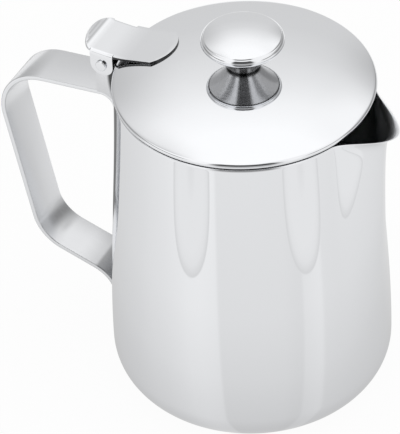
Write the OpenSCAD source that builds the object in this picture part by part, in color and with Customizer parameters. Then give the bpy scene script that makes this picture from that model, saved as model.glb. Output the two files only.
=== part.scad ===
// Hot milk jug with a hinged lid. A drawn jug body with a pulled spout carries a flat strap handle.
// A stamped thumb plate hinges the domed lid on a bracket that stands on the strap,
// and a hollow mushroom knob is screwed to the middle of the lid.
// Millimetres. +Z is up, the origin is the centre of the flat base, +X points to the spout
// and the handle is on -X.

/* [Jug body] */
// Height of the rim above the base
body_h = 138.3; // [120:0.1:160]
// Widest diameter, just above the rounded bottom edge
belly_d = 111.6; // [106:0.2:120]
// Outer diameter of the mouth
mouth_d = 98.8; // [92:0.2:104]
// Radius of the rounded bottom edge
bottom_r = 16; // [12:0.5:20]
// Thickness of the drawn sheet
wall_t = 0.8; // [0.6:0.1:1.2]
// Height over which the belly stays full
belly_rise = 37; // [28:1:45]
// Diameter that the wall draws in to below the mouth
neck_d = 101.6; // [97:0.2:106]
// Height of the straighter neck below the rim
neck_rise = 47; // [35:1:55]

/* [Spout] */
// Reach of the lip past the mouth
spout_reach = 14.9; // [10:0.1:18]
// Extra reach of the lip past the throat below it
lip_flare = 3.6; // [2:0.1:7]
// Height over which the lip flares
lip_flare_h = 12; // [6:0.5:14]
// Reach of the curl along the lip's very edge
lip_curl = 4.2; // [0:0.1:5]
// Height over which the edge curls
lip_curl_h = 3.6; // [1:0.1:5]
// Droop of the lip at its tip
lip_drop = 2.8; // [0:0.1:5]
// Height over which the spout runs out into the wall
spout_h = 105; // [70:1:115]
// Half angle that the spout takes up on the mouth, in degrees
spout_half_angle = 23.6; // [18:0.2:26]

/* [Handle] */
// Width of the flat strap
strap_w = 18.6; // [16:0.2:22]
// Thickness of the strap
strap_t = 2; // [1.5:0.1:2.5]
// Depth of the strap's top below the rim, at the hinge pin
strap_drop = 14; // [12.5:0.1:18]
// Fall of the top run towards the grip, in degrees
strap_fall = 4.2; // [0:0.1:8]
// Reach of the grip's upper corner past the mouth
grip_reach_top = 56.6; // [50:0.1:64]
// Reach of the grip's lower corner past the belly
grip_reach_low = 34.5; // [28:0.1:40]
// Height of the grip's lower corner above the foot's bend
grip_low_h = 11.1; // [8:0.1:14]
// Height of the foot's bend above the rounded bottom edge
foot_bend_h = 11.1; // [10.5:0.1:15]
// Bend radius at the upper root
root_bend_r = 6; // [5:0.5:8]
// Bend radius at the grip's upper corner
top_bend_r = 20; // [15:0.5:24]
// Bend radius at the grip's lower corner
low_bend_r = 16.5; // [12:0.5:20]
// Bend radius above the lower foot
foot_bend_r = 13.6; // [11:0.1:14]
// Length of the upper foot on the wall
root_len = 22; // [14:1:30]
// Turn of the lower foot round the bottom edge, in degrees
foot_wrap = 38; // [20:1:45]
// Depth that each foot is hollowed to seat on the round wall
foot_seat = 0.35; // [0.1:0.05:0.5]

/* [Hinge] */
// Distance of the hinge pin behind the mouth
pin_out = 5.8; // [5.4:0.1:7]
// Depth of the hinge pin below the rim
pin_drop = 0.2; // [0:0.1:1.5]
// Diameter of the hinge pin
pin_d = 3.2; // [2.6:0.1:3.6]
// Running clearance of the ears on the pin
pin_clear = 0.06; // [0.03:0.01:0.1]
// Diameter of the pin's riveted heads
pin_head_d = 4.4; // [4:0.1:5.2]
// Height of the pin's riveted heads
pin_head_h = 0.9; // [0.6:0.1:1.2]
// Rounding of the heads' edge
pin_head_round = 0.6; // [0.2:0.1:0.6]
// Side clearance between the ears and their neighbours
ear_clear = 0.3; // [0.2:0.05:0.4]
// Radius of the ears round the pin
ear_r = 4.8; // [4:0.1:5]
// Thickness of the bracket's folded sheet
bracket_t = 1.2; // [1:0.1:1.6]
// Radius of the bracket's cheeks round the pin
cheek_r = 3.6; // [3:0.1:3.8]

/* [Thumb plate] */
// Thickness of the stamped plate
plate_t = 1; // [0.8:0.1:1.2]
// Width of the plate, over the outside of its two ears
plate_w = 21.2; // [19:0.2:23]
// Distance from the lid's centre to the tongue's tip
tongue_tip = 28.9; // [26:0.1:32]
// Radius of the tongue's round end
tongue_tip_r = 13.6; // [12.5:0.1:15]
// Distance from the lid's centre to the weld under the tongue
weld_at = 31.8; // [30:0.1:36]
// Clearance between the tongue and the dome at the weld
weld_gap = 0.05; // [0.02:0.01:0.1]
// Bend radius of the valley between the tongue and the thumb rest
valley_bend_r = 40; // [25:1:45]
// Width of the thumb rest where it leaves the ears
thumb_w = 20.4; // [18:0.2:22]
// Length of the thumb rest behind the pin
thumb_len = 9.4; // [8:0.1:10]
// Rise of the thumb rest at its end
thumb_rise = 2.6; // [1.5:0.1:3]
// Bend radius of the thumb rest
thumb_bend_r = 12; // [8:0.5:14]

/* [Lid] */
// Overhang of the lid's rolled edge past the mouth
lid_overhang = 0.6; // [0.3:0.1:1]
// Thickness of the lid's sheet
lid_t = 0.8; // [0.6:0.1:1]
// Radius of the rolled edge
edge_r = 1.3; // [1.1:0.05:1.6]
// Slope of the dome where it meets the rolled edge, in degrees
edge_slope = 20; // [14:0.5:24]
// Fullness of the dome, higher for a flatter middle
dome_power = 2.55; // [2:0.05:3]
// Clearance between the rolled edge and the rim
seat_gap = 0.35; // [0.1:0.05:0.5]

/* [Knob] */
// Diameter of the knob's cap
knob_d = 31.6; // [26:0.2:36]
// Height of the cap's widest ring above the lid
knob_h = 12.1; // [10:0.1:15]
// Rise of the cap's crown above its widest ring
crown_rise = 4.6; // [3:0.1:6]
// Radius of the cap's rolled rim
rim_r = 1.9; // [1.5:0.1:2.3]
// Diameter of the trumpet's neck where it stands on the lid
neck_foot_d = 15.2; // [13:0.2:17]
// Thickness of the knob's sheet
knob_t = 0.8; // [0.6:0.1:1]
// Gap of the seam between the cap and the trumpet
seam_gap = 0.08; // [0.04:0.01:0.15]
// Diameter of the knob screw
screw_d = 4; // [3:0.5:5]
// Clearance of the screw in its holes
screw_clear = 0.2; // [0.1:0.05:0.4]
// Length of the threaded bush in the knob
bush_len = 7; // [5:0.5:8]
// Wall of the threaded bush
bush_wall = 2.2; // [1.5:0.1:2.4]
// Diameter of the screw's washer
washer_d = 11; // [9:0.5:13]
// Thickness of the washer
washer_t = 1; // [0.6:0.1:1.5]
// Diameter of the screw's pan head
head_d = 7.6; // [6.6:0.2:9]
// Height of the screw's pan head
head_h = 2.4; // [1.8:0.1:3]

/* [Hidden] */
$fn = 72;

steel = [0.86, 0.87, 0.88];
satin_steel = [0.78, 0.79, 0.80];
belly_r = belly_d / 2;
mouth_r = mouth_d / 2;
base_r = belly_r - bottom_r;
lid_r = mouth_r + lid_overhang;
edge_c = lid_r - edge_r;
edge_z = body_h + seat_gap + edge_r;
// The dome meets the rolled edge on one slope
touch_r = edge_c + edge_r * sin(edge_slope);
dome_drop = touch_r * tan(edge_slope) / dome_power;
apex_z = edge_z + edge_r * cos(edge_slope) + dome_drop;
// Half width of the flat spot pressed for the knob
seat_r = neck_foot_d / 2 + 1;
seat_z = dome_z(seat_r);
pin_x = -(mouth_r + pin_out);
pin_z = body_h - pin_drop;
ear_in = plate_w / 2 - plate_t;
bracket_w = 2 * (ear_in - ear_clear);
strap_top = body_h - strap_drop;

// Point at t on the cubic curve of four control points
function bezier(p, t) = pow(1 - t, 3) * p[0] + 3 * t * pow(1 - t, 2) * p[1]
    + 3 * t * t * (1 - t) * p[2] + pow(t, 3) * p[3];
function unit(v) = v / norm(v);
function polar(r, a) = r * [cos(a), sin(a)];
// Arc about a centre, from angle a0 through a sweep
function arc(c, r, a0, sweep, steps) = [for (i = [0 : steps]) c + polar(r, a0 + sweep * i / steps)];

// Jug wall: a round bottom edge, then one curve from the belly to the mouth
wall_curve = [
    [belly_r, bottom_r],
    [belly_r, bottom_r + belly_rise],
    [neck_d / 2, body_h - neck_rise],
    [mouth_r, body_h]
];
corner_steps = 5;
wall_steps = 16;
rim_round = wall_t * 0.4;
// Steps along the wall close up towards the lip
function wall_param(i) = 1 - pow(1 - i / wall_steps, 2);
function curve_at(z, lo = 0, hi = 1, n = 24) = let (mid = (lo + hi) / 2)
    n == 0 ? mid
    : bezier(wall_curve, mid)[1] < z ? curve_at(z, mid, hi, n - 1)
    : curve_at(z, lo, mid, n - 1);
// Outer radius of the wall at a height, away from the spout
function wall_r(z) = z < bottom_r ? base_r + sqrt(pow(bottom_r, 2) - pow(bottom_r - z, 2))
    : bezier(wall_curve, curve_at(z))[0];
// Profile of the wall, set in from the outer face
function wall_profile(inset) = concat(
    arc([base_r, bottom_r], bottom_r - inset, -90, 90, corner_steps),
    [for (i = [1 : wall_steps])
        bezier(wall_curve, wall_param(i)) - [inset, i == wall_steps ? rim_round : 0]]);

// Spout: a rounded vee that swells out of the wall and flares at the lip
lip_soft = 0.31;
throat_soft = 1.42;
vee_power = 1.66;
fade_power = 0.8;
droop_h = 12;
function vee_share(a, soft) = (norm([a / spout_half_angle, soft]) - soft) / (norm([1, soft]) - soft);
function vee(a, soft) = let (share = vee_share(a, soft)) share < 1 ? pow(1 - share, vee_power) : 0;
function fade(u) = u < 1 ? pow(1 - u * u * (3 - 2 * u), fade_power) : 0;
function softness(down) = lip_soft + (throat_soft - lip_soft) * min(1, down / spout_h);
function reach(down) = (spout_reach - lip_flare - lip_curl) * fade(down / spout_h)
    + lip_flare * exp(-down / lip_flare_h) + lip_curl * exp(-down / lip_curl_h);
function swell(a, down) = reach(down) * vee(a, softness(down));
function droop(a, down) = lip_drop * vee(a, lip_soft) * exp(-down / droop_h);
function wall_point(p, a) = let (down = body_h - p[1], r = p[0] + swell(a, down))
    [r * cos(a), r * sin(a), p[1] - droop(a, down)];

// Close steps across the spout, wider steps round the rest of the wall
spout_steps = 26;
back_steps = 46;
spout_sweep = 2 * (spout_half_angle + 2);
angles = concat(
    [for (i = [0 : spout_steps - 1]) -spout_sweep / 2 + spout_sweep * i / spout_steps],
    [for (i = [0 : back_steps - 1]) spout_sweep / 2 + (360 - spout_sweep) * i / back_steps]);
function reversed(list) = [for (i = [len(list) - 1 : -1 : 0]) list[i]];

// Drawn shell: up the outer face, over the rim and down the inner face to the floor
module jug_body() {
    profile = concat(wall_profile(0), [[mouth_r - wall_t / 2, body_h]], reversed(wall_profile(wall_t)));
    rings = len(profile);
    turns = len(angles);
    points = [for (p = profile) for (a = angles) wall_point(p, a > 180 ? a - 360 : a)];
    sides = [for (i = [0 : rings - 2]) for (j = [0 : turns - 1])
        let (k = (j + 1) % turns) each [
            [i * turns + j, (i + 1) * turns + j, (i + 1) * turns + k],
            [i * turns + j, (i + 1) * turns + k, i * turns + k]]];
    base = [for (j = [0 : turns - 1]) j];
    inside = [for (j = [turns - 1 : -1 : 0]) (rings - 1) * turns + j];
    color(steel)
        polyhedron(points, concat(sides, [base, inside]));
}

// Solid inside the wall's outer face, used to shape what seats on it
module jug_envelope() {
    rotate_extrude()
        polygon(concat([[0, 0]], wall_profile(0), [[0, body_h]]));
}

// Path through corners of [x, z, bend radius], with each inner corner turned on its radius
bend_steps = 12;
function flat(p) = [p[0], p[1]];
function bend(a, b, c) = let (
        u = unit(flat(a) - flat(b)),
        v = unit(flat(c) - flat(b)),
        half = acos(u * v) / 2,
        centre = flat(b) + unit(u + v) * b[2] / sin(half),
        from = flat(b) + u * b[2] / tan(half) - centre,
        to = flat(b) + v * b[2] / tan(half) - centre,
        a0 = atan2(from[1], from[0]),
        sweep = (atan2(to[1], to[0]) - a0 + 540) % 360 - 180)
    arc(centre, b[2], a0, sweep, bend_steps);
function bent_path(c) = concat([flat(c[0])],
    [for (i = [1 : len(c) - 2]) each bend(c[i - 1], c[i], c[i + 1])],
    [flat(c[len(c) - 1])]);
function path_normal(p, i) = let (d = unit(p[min(i + 1, len(p) - 1)] - p[max(i - 1, 0)])) [-d[1], d[0]];
// Band of even thickness along a path
function band(p, t) = concat(
    [for (i = [0 : len(p) - 1]) p[i] + path_normal(p, i) * t / 2],
    [for (i = [len(p) - 1 : -1 : 0]) p[i] - path_normal(p, i) * t / 2]);
// Side view in x and z, drawn across the width
module across(w, y = 0) {
    translate([0, y, 0])
        rotate([90, 0, 0])
            linear_extrude(w, center = true)
                children();
}

// Strap: a straight upper foot, the top run, the grip, the lower run and a foot round the bottom edge
strap_off = strap_t / 2 - foot_seat;
function top_face(x) = strap_top + (x - pin_x) * tan(strap_fall);
function top_mid(x) = top_face(x) - strap_t / 2 / cos(strap_fall);
root_x = -(wall_r(strap_top - root_bend_r) + strap_off);
root_z = strap_top - root_bend_r - root_len;
grip_top_x = -(mouth_r + grip_reach_top);
foot_z = bottom_r + foot_bend_h;
foot_x = -(belly_r + strap_off);
strap_path = concat(
    bent_path([
        [-(wall_r(root_z) + strap_off), root_z, 0],
        [root_x, top_mid(root_x), root_bend_r],
        [grip_top_x, top_mid(grip_top_x), top_bend_r],
        [-(belly_r + grip_reach_low), foot_z + grip_low_h, low_bend_r],
        [foot_x, foot_z, foot_bend_r],
        [foot_x, bottom_r, 0]]),
    [for (i = [1 : corner_steps])
        [-base_r, bottom_r] + polar(bottom_r + strap_off, 180 + foot_wrap * i / corner_steps)]);

module handle_strap() {
    color(satin_steel)
        difference() {
            across(strap_w)
                polygon(band(strap_path, strap_t));
            jug_envelope();
        }
}

// Folded bracket: two cheeks on a saddle that follows the strap round its root bend, bored for the pin
bracket_back = pin_x - cheek_r;
function outer_face(i, lift) = strap_path[i] - path_normal(strap_path, i) * (strap_t / 2 + lift);
function saddle(lift) = concat(
    [for (i = [bend_steps / 2 + 1 : bend_steps + 1]) outer_face(i, lift)],
    [[bracket_back, top_face(bracket_back) + lift / cos(strap_fall)]]);
module hinge_bracket() {
    cheek = concat(saddle(0), [[bracket_back, pin_z], [pin_x + cheek_r, pin_z]]);
    color(satin_steel)
        difference() {
            union() {
                across(bracket_w)
                    polygon(concat(saddle(0), reversed(saddle(bracket_t))));
                for (side = [-1, 1])
                    across(bracket_t, side * (bracket_w - bracket_t) / 2) {
                        polygon(cheek);
                        translate([pin_x, pin_z])
                            circle(cheek_r);
                    }
            }
            pin_hole(pin_d / 2);
        }
}

module pin_hole(r) {
    translate([pin_x, 0, pin_z])
        rotate([90, 0, 0])
            cylinder(h = 2 * plate_w, r = r, center = true);
}

// Riveted pin, pressed in the bracket, with a flat head outside each ear
module hinge_pin() {
    half = plate_w / 2 + ear_clear / 2;
    head_r = pin_head_d / 2;
    edge = arc([head_r - pin_head_round, half + pin_head_h - pin_head_round], pin_head_round, 0, 90, 6);
    shank = [[0, 0], [pin_d / 2, 0], [pin_d / 2, half], [head_r, half]];
    outline = concat(shank, edge, [[0, half + pin_head_h]]);
    color(satin_steel)
        translate([pin_x, 0, pin_z])
            for (turn = [-90, 90])
                rotate([turn, 0, 0])
                    rotate_extrude()
                        polygon(outline);
}

// Thumb plate: a tongue on the lid, two ears on the pin and a thumb rest that curls up behind it
function dome_z(r) = apex_z - dome_drop * pow(r / touch_r, dome_power);
function dome_slope(r) = atan(tan(edge_slope) * pow(r / touch_r, dome_power - 1));
weld_slope = dome_slope(weld_at);
function tongue_z(x) = dome_z(weld_at) + (x + weld_at) * tan(weld_slope)
    + (weld_gap + plate_t / 2) / cos(weld_slope);
valley_x = -edge_c;
valley_z = tongue_z(valley_x);
thumb_bend_x = pin_x - ear_r;
thumb_bend_z = valley_z + 0.35;
plate_path = bent_path([
    [pin_x - thumb_len, thumb_bend_z + thumb_rise, 0],
    [thumb_bend_x, thumb_bend_z, thumb_bend_r],
    [valley_x, valley_z, valley_bend_r],
    [-tongue_tip, tongue_z(-tongue_tip), 0]]);
module plate_outline() {
    end_half = asin(plate_w / 2 / tongue_tip_r);
    end = arc([-tongue_tip - tongue_tip_r, 0], tongue_tip_r, -end_half, 2 * end_half, 16);
    rest_x = thumb_bend_x + 0.5;
    rest_len = rest_x - pin_x + thumb_len;
    rest = [for (i = [0 : 16]) [rest_x - rest_len * sin(180 * i / 16), thumb_w / 2 * cos(180 * i / 16)]];
    linear_extrude(apex_z)
        polygon(concat(end, rest));
}
module thumb_plate() {
    ear = [
        [pin_x - ear_r, pin_z],
        [pin_x + ear_r, pin_z],
        [pin_x + ear_r, valley_z],
        [pin_x - ear_r, thumb_bend_z]
    ];
    color(steel)
        difference() {
            union() {
                intersection() {
                    across(2 * plate_w)
                        polygon(band(plate_path, plate_t));
                    plate_outline();
                }
                for (side = [-1, 1])
                    across(plate_t, side * (plate_w - plate_t) / 2) {
                        polygon(ear);
                        translate([pin_x, pin_z])
                            circle(ear_r);
                    }
            }
            pin_hole(pin_d / 2 + pin_clear);
        }
}

// Lid pressing: a flat spot for the knob, the dome and a tight rolled edge that hangs over the rim
function dome_section(r0, r1, depth, steps) = [for (i = [0 : steps]) let (r = r0 + (r1 - r0) * i / steps)
    [r, dome_z(r) - depth / cos(dome_slope(r))]];
module lid_shell() {
    tuck = acos(1 - lid_t / edge_r);
    inner_end = edge_c + edge_r * sin(edge_slope - tuck);
    outer = dome_section(seat_r, touch_r, 0, 20);
    roll = arc([edge_c, edge_z], edge_r, 90 - edge_slope, -(360 - tuck), 28);
    inner = dome_section(inner_end - 0.3, seat_r, lid_t, 20);
    hole_r = screw_d / 2 + screw_clear;
    color(steel)
        rotate_extrude()
            polygon(concat([[hole_r, seat_z]], outer, roll, inner, [[hole_r, seat_z - lid_t]]));
}

// Knob: a trumpet-shaped base and a crowned cap whose rim is rolled round the trumpet's edge
foot_r = neck_foot_d / 2;
cap_z = seat_z + knob_h;
rim_c = knob_d / 2 - rim_r;
seam_turn = 66;
seam = [rim_c, cap_z] + polar(rim_r, -seam_turn);
module knob_base() {
    flare = seam[0] - seam_gap - foot_r;
    out = [
        [foot_r, seat_z],
        [foot_r + flare * 0.2, seat_z + knob_h * 0.3],
        [foot_r + flare * 0.58, seat_z + knob_h * 0.62],
        [foot_r + flare, seam[1]]
    ];
    steps = 16;
    outer = [for (i = [0 : steps]) bezier(out, i / steps)];
    hole_r = screw_d / 2 + screw_clear;
    inner = [for (i = [steps : -1 : 0]) outer[i] + [-knob_t, i == 0 ? knob_t : knob_t * 0.6]];
    color(steel)
        rotate_extrude()
            polygon(concat([[hole_r, seat_z]], outer, inner, [[hole_r, seat_z + knob_t]]));
}
// Section of a ball cap
function cap_section(ball, top, r0, r1, steps) = [for (i = [0 : steps]) let (r = r0 + (r1 - r0) * i / steps)
    [r, top - ball + sqrt(ball * ball - r * r)]];
module knob_cap() {
    cap_ball = (pow(crown_rise, 2) + pow(rim_c, 2) - pow(rim_r, 2)) / (2 * (crown_rise - rim_r));
    tilt = asin(rim_c / (cap_ball - rim_r));
    top = cap_z + crown_rise;
    sweep = 90 - tilt + seam_turn;
    outer = cap_section(cap_ball, top, 0, rim_c + rim_r * sin(tilt), 16);
    roll = arc([rim_c, cap_z], rim_r, 90 - tilt, -sweep, 14);
    back = arc([rim_c, cap_z], rim_r - knob_t, -seam_turn, sweep, 14);
    inner = cap_section(cap_ball - knob_t, top - knob_t, rim_c + (rim_r - knob_t) * sin(tilt), 0, 16);
    color(steel)
        rotate_extrude()
            polygon(concat(outer, roll, back, inner));
}

// Threaded bush on the trumpet's floor, and the screw that draws it down through the lid
lid_under = seat_z - lid_t;
module ring(r_out, r_in, z0, h) {
    translate([0, 0, z0])
        difference() {
            cylinder(h = h, r = r_out);
            translate([0, 0, -1])
                cylinder(h = h + 2, r = r_in);
        }
}
module knob_bush() {
    color(satin_steel)
        ring(screw_d / 2 + bush_wall, screw_d / 2, seat_z + knob_t, bush_len);
}
module knob_washer() {
    color(satin_steel)
        ring(washer_d / 2, screw_d / 2 + screw_clear, lid_under - washer_t, washer_t);
}
module knob_screw() {
    head_z = lid_under - washer_t;
    color(satin_steel) {
        translate([0, 0, head_z])
            cylinder(h = seat_z + knob_t + bush_len - 1 - head_z, r = screw_d / 2);
        translate([0, 0, head_z - head_h])
            cylinder(h = head_h, r1 = head_d / 2 - 0.8, r2 = head_d / 2);
    }
}

jug_body();
handle_strap();
hinge_bracket();
hinge_pin();
thumb_plate();
lid_shell();
knob_base();
knob_cap();
knob_bush();
knob_screw();
knob_washer();
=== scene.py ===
"""Looks of a polished hot milk jug with a hinged lid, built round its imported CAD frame.

Every piece is in metres in the frame's own axes: the base stands on z = 0, the spout points to +X and the
handle is on -X. Sizes in the classes are in millimetres and angles in degrees, unless a field says otherwise.
"""

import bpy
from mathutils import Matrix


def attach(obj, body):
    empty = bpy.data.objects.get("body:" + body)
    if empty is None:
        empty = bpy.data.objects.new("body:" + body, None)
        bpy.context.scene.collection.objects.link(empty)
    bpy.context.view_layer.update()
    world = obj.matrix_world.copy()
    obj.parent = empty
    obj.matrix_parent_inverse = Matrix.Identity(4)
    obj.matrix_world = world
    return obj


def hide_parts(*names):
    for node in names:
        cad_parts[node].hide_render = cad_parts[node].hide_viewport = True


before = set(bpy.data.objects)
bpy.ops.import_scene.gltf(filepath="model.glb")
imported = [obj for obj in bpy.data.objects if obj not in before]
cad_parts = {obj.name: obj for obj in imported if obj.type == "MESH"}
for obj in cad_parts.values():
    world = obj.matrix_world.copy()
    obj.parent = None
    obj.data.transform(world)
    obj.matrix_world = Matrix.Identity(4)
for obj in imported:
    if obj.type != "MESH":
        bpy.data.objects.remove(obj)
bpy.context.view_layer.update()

import logging
import math
from dataclasses import dataclass, replace
from enum import Enum
from functools import partial
from typing import Callable, ClassVar, Sequence

import bpy
from mathutils import Matrix, Vector

log = logging.getLogger("milk_jug")
MM = 0.001
Point = tuple[float, float]
Triple = tuple[float, float, float]


class Body(Enum):
    """The two bodies that the hinge pin joins."""

    JUG = "jug"
    LID = "lid"


class Slot(Enum):
    """Material slots of the part's record."""

    POLISHED = "polished_steel"
    SATIN = "satin_steel"


def arc(centre: Point, radius: float, start: float, sweep: float, steps: int) -> list[Point]:
    """Gives points along an arc.

    Args:
        centre: Middle of the arc.
        radius: Radius of the arc.
        start: First angle in degrees.
        sweep: Turn in degrees, negative for clockwise.
        steps: Number of equal steps.

    Returns:
        The points, one more than the steps.
    """
    angles = [math.radians(start + sweep * i / steps) for i in range(steps + 1)]
    return [(centre[0] + radius * math.cos(a), centre[1] + radius * math.sin(a)) for a in angles]


def bezier(control: Sequence[Point], t: float) -> Point:
    """Gives a point on a cubic curve.

    Args:
        control: Four control points.
        t: Place along the curve, from 0 to 1.

    Returns:
        The point.
    """
    s = 1.0 - t
    weights = (s**3, 3 * t * s**2, 3 * t * t * s, t**3)
    return (
        sum(w * p[0] for w, p in zip(weights, control)),
        sum(w * p[1] for w, p in zip(weights, control)),
    )


def bent_path(corners: Sequence[Triple], steps: int) -> list[Point]:
    """Turns each inner corner of a path on its bend radius.

    Args:
        corners: Corners as (x, z, bend radius); the two ends have no bend.
        steps: Steps in each bend.

    Returns:
        The points of the path.
    """
    path: list[Point] = [corners[0][:2]]
    for before, corner, after in zip(corners, corners[1:], corners[2:]):
        at = Vector(corner[:2])
        u = (Vector(before[:2]) - at).normalized()
        v = (Vector(after[:2]) - at).normalized()
        half = math.acos(max(-1.0, min(1.0, u.dot(v)))) / 2
        centre = at + (u + v).normalized() * corner[2] / math.sin(half)
        first = at + u * corner[2] / math.tan(half) - centre
        last = at + v * corner[2] / math.tan(half) - centre
        start = math.degrees(math.atan2(first.y, first.x))
        sweep = (math.degrees(math.atan2(last.y, last.x)) - start + 540) % 360 - 180
        path += arc((centre.x, centre.y), corner[2], start, sweep, steps)
    return path + [corners[-1][:2]]


def height_on(path: Sequence[Point], x: float) -> float:
    """Reads the height of a path at x.

    Args:
        path: Points in order of rising or falling x.
        x: Place to read at.

    Returns:
        The height, held level past the ends.
    """
    ordered = sorted(path)
    for (x0, z0), (x1, z1) in zip(ordered, ordered[1:]):
        if x0 <= x <= x1 and x1 > x0:
            return z0 + (z1 - z0) * (x - x0) / (x1 - x0)
    return ordered[0][1] if x < ordered[0][0] else ordered[-1][1]


def ball_arc(ball: float, top: float, r0: float, r1: float, steps: int) -> list[Point]:
    """Gives the section of a ball-shaped cap between two radii.

    Args:
        ball: Radius of the ball.
        top: Height of the cap's apex.
        r0: First distance from the axis.
        r1: Last distance from the axis.
        steps: Number of steps.

    Returns:
        Points as (radius, height).
    """
    radii = [r0 + (r1 - r0) * i / steps for i in range(steps + 1)]
    return [(r, top - ball + math.sqrt(ball * ball - r * r)) for r in radii]


class NodeDesk:
    """Wires shader nodes in one tree with short calls.

    Attributes:
        RAMP_TOP: Highest tone that a ramp holds.
        HALF_TURN: Half of a full turn in degrees.
        tree: The tree that it wires.
    """

    RAMP_TOP = 2.0
    HALF_TURN = 180.0

    def __init__(self, tree: bpy.types.NodeTree) -> None:
        """Takes the tree to wire."""
        self.tree = tree

    def feed(self, socket: bpy.types.NodeSocket, value: object) -> None:
        """Links an output to a socket, or sets the socket to a constant.

        Args:
            socket: The input socket.
            value: An output socket or a constant.
        """
        if isinstance(value, bpy.types.NodeSocket):
            self.tree.links.new(value, socket)
        else:
            socket.default_value = value

    def math(self, operation: str, first: object, second: object = 0.0) -> bpy.types.NodeSocket:
        """Gives the result of a sum on one or two values.

        Args:
            operation: Name of the operation.
            first: First value, a socket or a number.
            second: Second value, a socket or a number.

        Returns:
            The result's socket.
        """
        node = self.tree.nodes.new("ShaderNodeMath")
        node.operation = operation
        self.feed(node.inputs[0], first)
        self.feed(node.inputs[1], second)
        return node.outputs[0]

    def vector(
        self, operation: str, first: object, second: object = (0.0, 0.0, 0.0)
    ) -> bpy.types.ShaderNodeVectorMath:
        """Gives a node that works on one or two vectors.

        Args:
            operation: Name of the operation.
            first: First vector, a socket or a constant.
            second: Second vector, a socket or a constant.

        Returns:
            The node, whose outputs are Vector and Value.
        """
        node = self.tree.nodes.new("ShaderNodeVectorMath")
        node.operation = operation
        self.feed(node.inputs[0], first)
        self.feed(node.inputs[1], second)
        return node

    def step(self, value: object, low: float, high: float) -> bpy.types.NodeSocket:
        """Gives a soft step from 0 at the low value to 1 at the high one.

        Args:
            value: The value, a socket.
            low: Value at which the step is 0.
            high: Value at which the step is 1; it may be below the low one.

        Returns:
            The step's socket.
        """
        node = self.tree.nodes.new("ShaderNodeMapRange")
        node.interpolation_type = "SMOOTHSTEP"
        self.feed(node.inputs["Value"], value)
        ends = (low, high, 0.0, 1.0) if low < high else (high, low, 1.0, 0.0)
        for name, end in zip(("From Min", "From Max", "To Min", "To Max"), ends):
            node.inputs[name].default_value = end
        return node.outputs["Result"]

    def ramp(self, value: object, stops: Sequence[Point], low: float, high: float) -> bpy.types.NodeSocket:
        """Gives a tone that runs straight from stop to stop.

        A ramp's colours end at 1, so it holds each tone as a share of the highest one.

        Args:
            value: The value, a socket.
            stops: Value and tone of each stop, in order.
            low: Value at the ramp's start.
            high: Value at the ramp's end.

        Returns:
            The tone's socket.
        """
        node = self.tree.nodes.new("ShaderNodeValToRGB")
        elements = node.color_ramp.elements
        while len(elements) < len(stops):
            elements.new(0.5)
        for element, (at, tone) in zip(elements, stops):
            element.position = (at - low) / (high - low)
            share = tone / self.RAMP_TOP
            element.color = (share, share, share, 1.0)
        span = self.math("DIVIDE", self.math("SUBTRACT", value, low), high - low)
        self.feed(node.inputs["Fac"], span)
        return self.math("MULTIPLY", node.outputs["Color"], self.RAMP_TOP)

    def around(self, turn: object, stops: Sequence[Point]) -> bpy.types.NodeSocket:
        """Gives a tone that runs straight from stop to stop round a full turn.

        Args:
            turn: The turn in degrees, a socket.
            stops: Turn and tone of each stop, in order.

        Returns:
            The tone's socket.
        """
        return self.ramp(turn, stops, -self.HALF_TURN, self.HALF_TURN)

    def mix(self, share: object, first: object, second: object) -> bpy.types.NodeSocket:
        """Gives a blend of two values.

        Args:
            share: Share of the second value, a socket or a number.
            first: First value, a socket or a number.
            second: Second value, a socket or a number.

        Returns:
            The blend's socket.
        """
        node = self.tree.nodes.new("ShaderNodeMix")
        self.feed(node.inputs[0], share)
        self.feed(node.inputs[2], first)
        self.feed(node.inputs[3], second)
        return node.outputs[0]


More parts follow.
